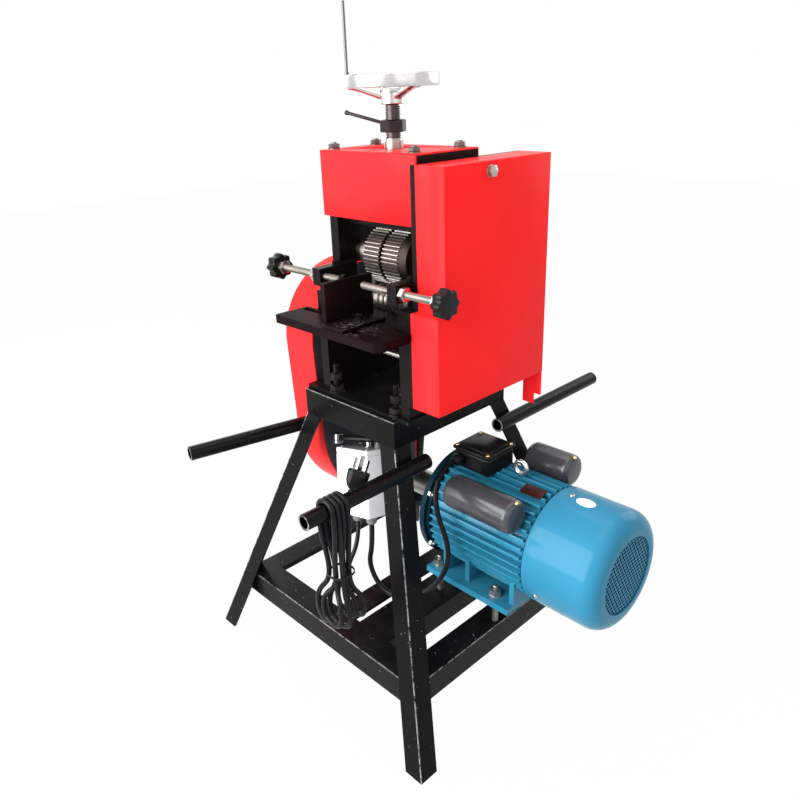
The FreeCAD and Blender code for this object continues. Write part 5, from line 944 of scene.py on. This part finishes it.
bmesh.ops.contextual_create(bm, geom=rings[-1])
for x, y, turn, long in ((-8.0, -3.0, 30.0, 17.0), (8.0, -3.0, -30.0, 17.0), (0.0, 6.5, 90.0, 20.0)):
    pin = slab(pins, (-0.8, -3.15, 39.0), (0.8, 3.15, 40.0 + long), 0.35)
    turn_about(pins, pin, (0, 0, 0), "Z", turn)
    bmesh.ops.translate(pins, vec=mm(x, y, 0), verts=pin)
piece("plug_with_pins", [(bm, cord_jacket), (pins, chrome)], "stand", ("power_plug",),
      shape=on_plug)

band_low, band_row, band_rows, band_wall = 283.5, 0.75, 4, 1.2
bm = bmesh.new()
edges = soft_ring(bm, 40, 0.75, (hank_x, hank_mid + 2.9, band_low), 16.4, 17.0)
for _ in range(band_rows):
    made = bmesh.ops.extrude_edge_only(bm, edges=edges)["geom"]
    bmesh.ops.translate(bm, vec=mm(0, 0, band_row), verts=points_of(made))
    edges = [g for g in made if isinstance(g, bmesh.types.BMEdge)]
walled(piece("hank_band", [(bm, rubber)], "stand", ("hank_tie",)), band_wall)

# Welds between the legs and the top ring

def weld(bm, start, end):
    """A bead of overlapping puddles along a joint."""
    bead = 2.2
    start, end = Vector(start), Vector(end)
    steps = max(int((end - start).length / (bead * 0.9)), 1)
    for i in range(steps + 1):
        wobble = Vector((math.sin(i * 2.1), math.cos(i * 1.7), math.sin(i * 1.3))) * 0.25
        spot = start.lerp(end, i / steps) + wobble
        place = Matrix.Translation(spot * MM) @ Matrix.Diagonal((1.0, 1.0, 0.85, 1.0))
        radius = (bead + 0.3 * math.sin(i * 1.9)) * MM
        bmesh.ops.create_icosphere(bm, subdivisions=1, radius=radius, matrix=place)


corner_x, corner_y, ring_underside = 92.0, 112.0, 407.0
bm = bmesh.new()
for out_x in (-1.0, 1.0):
    for out_y in (-1.0, 1.0):
        x, y = corner_x * out_x, corner_y * out_y
        weld(bm, (x - out_x * 26.0, y + out_y * 3.5, ring_underside),
             (x - out_x * 2.0, y + out_y * 3.5, ring_underside))
        weld(bm, (x + out_x * 2.0, y - out_y * 26.0, ring_underside),
             (x + out_x * 2.0, y - out_y * 2.0, ring_underside))
piece("leg_welds", [(bm, weld_steel)], "stand", sharp=60.0)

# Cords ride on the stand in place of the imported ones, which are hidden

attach(power_cord, "stand")
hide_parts("supply_cord", "cord_hank", "plug_cord")
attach(motor_lead, "stand")
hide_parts("motor_cable")

# Floor, background and lights

floor_data = bpy.data.meshes.new("floor")
sheet = bmesh.new()
bmesh.ops.create_grid(sheet, x_segments=1, y_segments=1, size=6.0)
sheet.to_mesh(floor_data)
sheet.free()
floor = bpy.data.objects.new("floor", floor_data)
bpy.context.scene.collection.objects.link(floor)
floor.location.z = -0.0005


def seen_directly(nodes, links):
    """A value of 1 for rays from the camera and for those by way of a mirror or glass."""
    paths = nodes.new("ShaderNodeLightPath")
    value = paths.outputs["Is Camera Ray"]
    for ray in ("Is Glossy Ray", "Is Transmission Ray"):
        either = nodes.new("ShaderNodeMath")
        either.operation = "MAXIMUM"
        links.new(value, either.inputs[0])
        links.new(paths.outputs[ray], either.inputs[1])
        value = either.outputs[0]
    return value


# The floor glows white where it is seen; the small rest is matt and takes the object's shadow.
floor_tone, glow_share, sky_strength = 0.60, 0.965, 0.60
pale = bpy.data.materials.new("pale_floor")
pale.use_nodes = True
nodes, links = pale.node_tree.nodes, pale.node_tree.links
nodes.clear()
matt = nodes.new("ShaderNodeBsdfDiffuse")
matt.inputs["Color"].default_value = (floor_tone, floor_tone, floor_tone, 1.0)
glow = nodes.new("ShaderNodeEmission")
share = nodes.new("ShaderNodeMath")
share.operation = "MULTIPLY"
share.inputs[1].default_value = glow_share
blend = nodes.new("ShaderNodeMixShader")
out = nodes.new("ShaderNodeOutputMaterial")
links.new(seen_directly(nodes, links), share.inputs[0])
links.new(share.outputs[0], blend.inputs[0])
links.new(matt.outputs[0], blend.inputs[1])
links.new(glow.outputs[0], blend.inputs[2])
links.new(blend.outputs[0], out.inputs[0])
floor_data.materials.append(pale)

world = bpy.data.worlds.new("studio")
bpy.context.scene.world = world
world.use_nodes = True
nodes, links = world.node_tree.nodes, world.node_tree.links
nodes.clear()
soft, white = nodes.new("ShaderNodeBackground"), nodes.new("ShaderNodeBackground")
for shade, strength in ((soft, sky_strength), (white, 1.0)):
    shade.inputs["Color"].default_value = (1.0, 1.0, 1.0, 1.0)
    shade.inputs["Strength"].default_value = strength
both = nodes.new("ShaderNodeMixShader")
out = nodes.new("ShaderNodeOutputWorld")
links.new(seen_directly(nodes, links), both.inputs[0])
links.new(soft.outputs[0], both.inputs[1])
links.new(white.outputs[0], both.inputs[2])
links.new(both.outputs[0], out.inputs[0])

bpy.context.scene.view_settings.view_transform = "Standard"

# Place and aim in millimetres, power in watts, side in metres
for name, place, aim, power, wide in (
        ("front_light", (-400, -2300, 1300), (0, 0, 450), 165.0, 2.6),
        ("right_light", (2300, -500, 1300), (0, 0, 400), 9.0, 2.2),
        ("top_light", (0, 300, 2700), (0, 0, 400), 22.0, 2.0),
        ("left_light", (-2200, 300, 1300), (0, 0, 450), 18.0, 1.4),
        ("back_light", (500, 2400, 1400), (0, 0, 450), 20.0, 1.6)):
    lamp = bpy.data.lights.new(name, "AREA")
    lamp.energy = power
    lamp.size = wide
    holder = bpy.data.objects.new(name, lamp)
    bpy.context.scene.collection.objects.link(holder)
    holder.location = mm(*place)
    holder.rotation_euler = (mm(*aim) - mm(*place)).to_track_quat("-Z", "Y").to_euler()
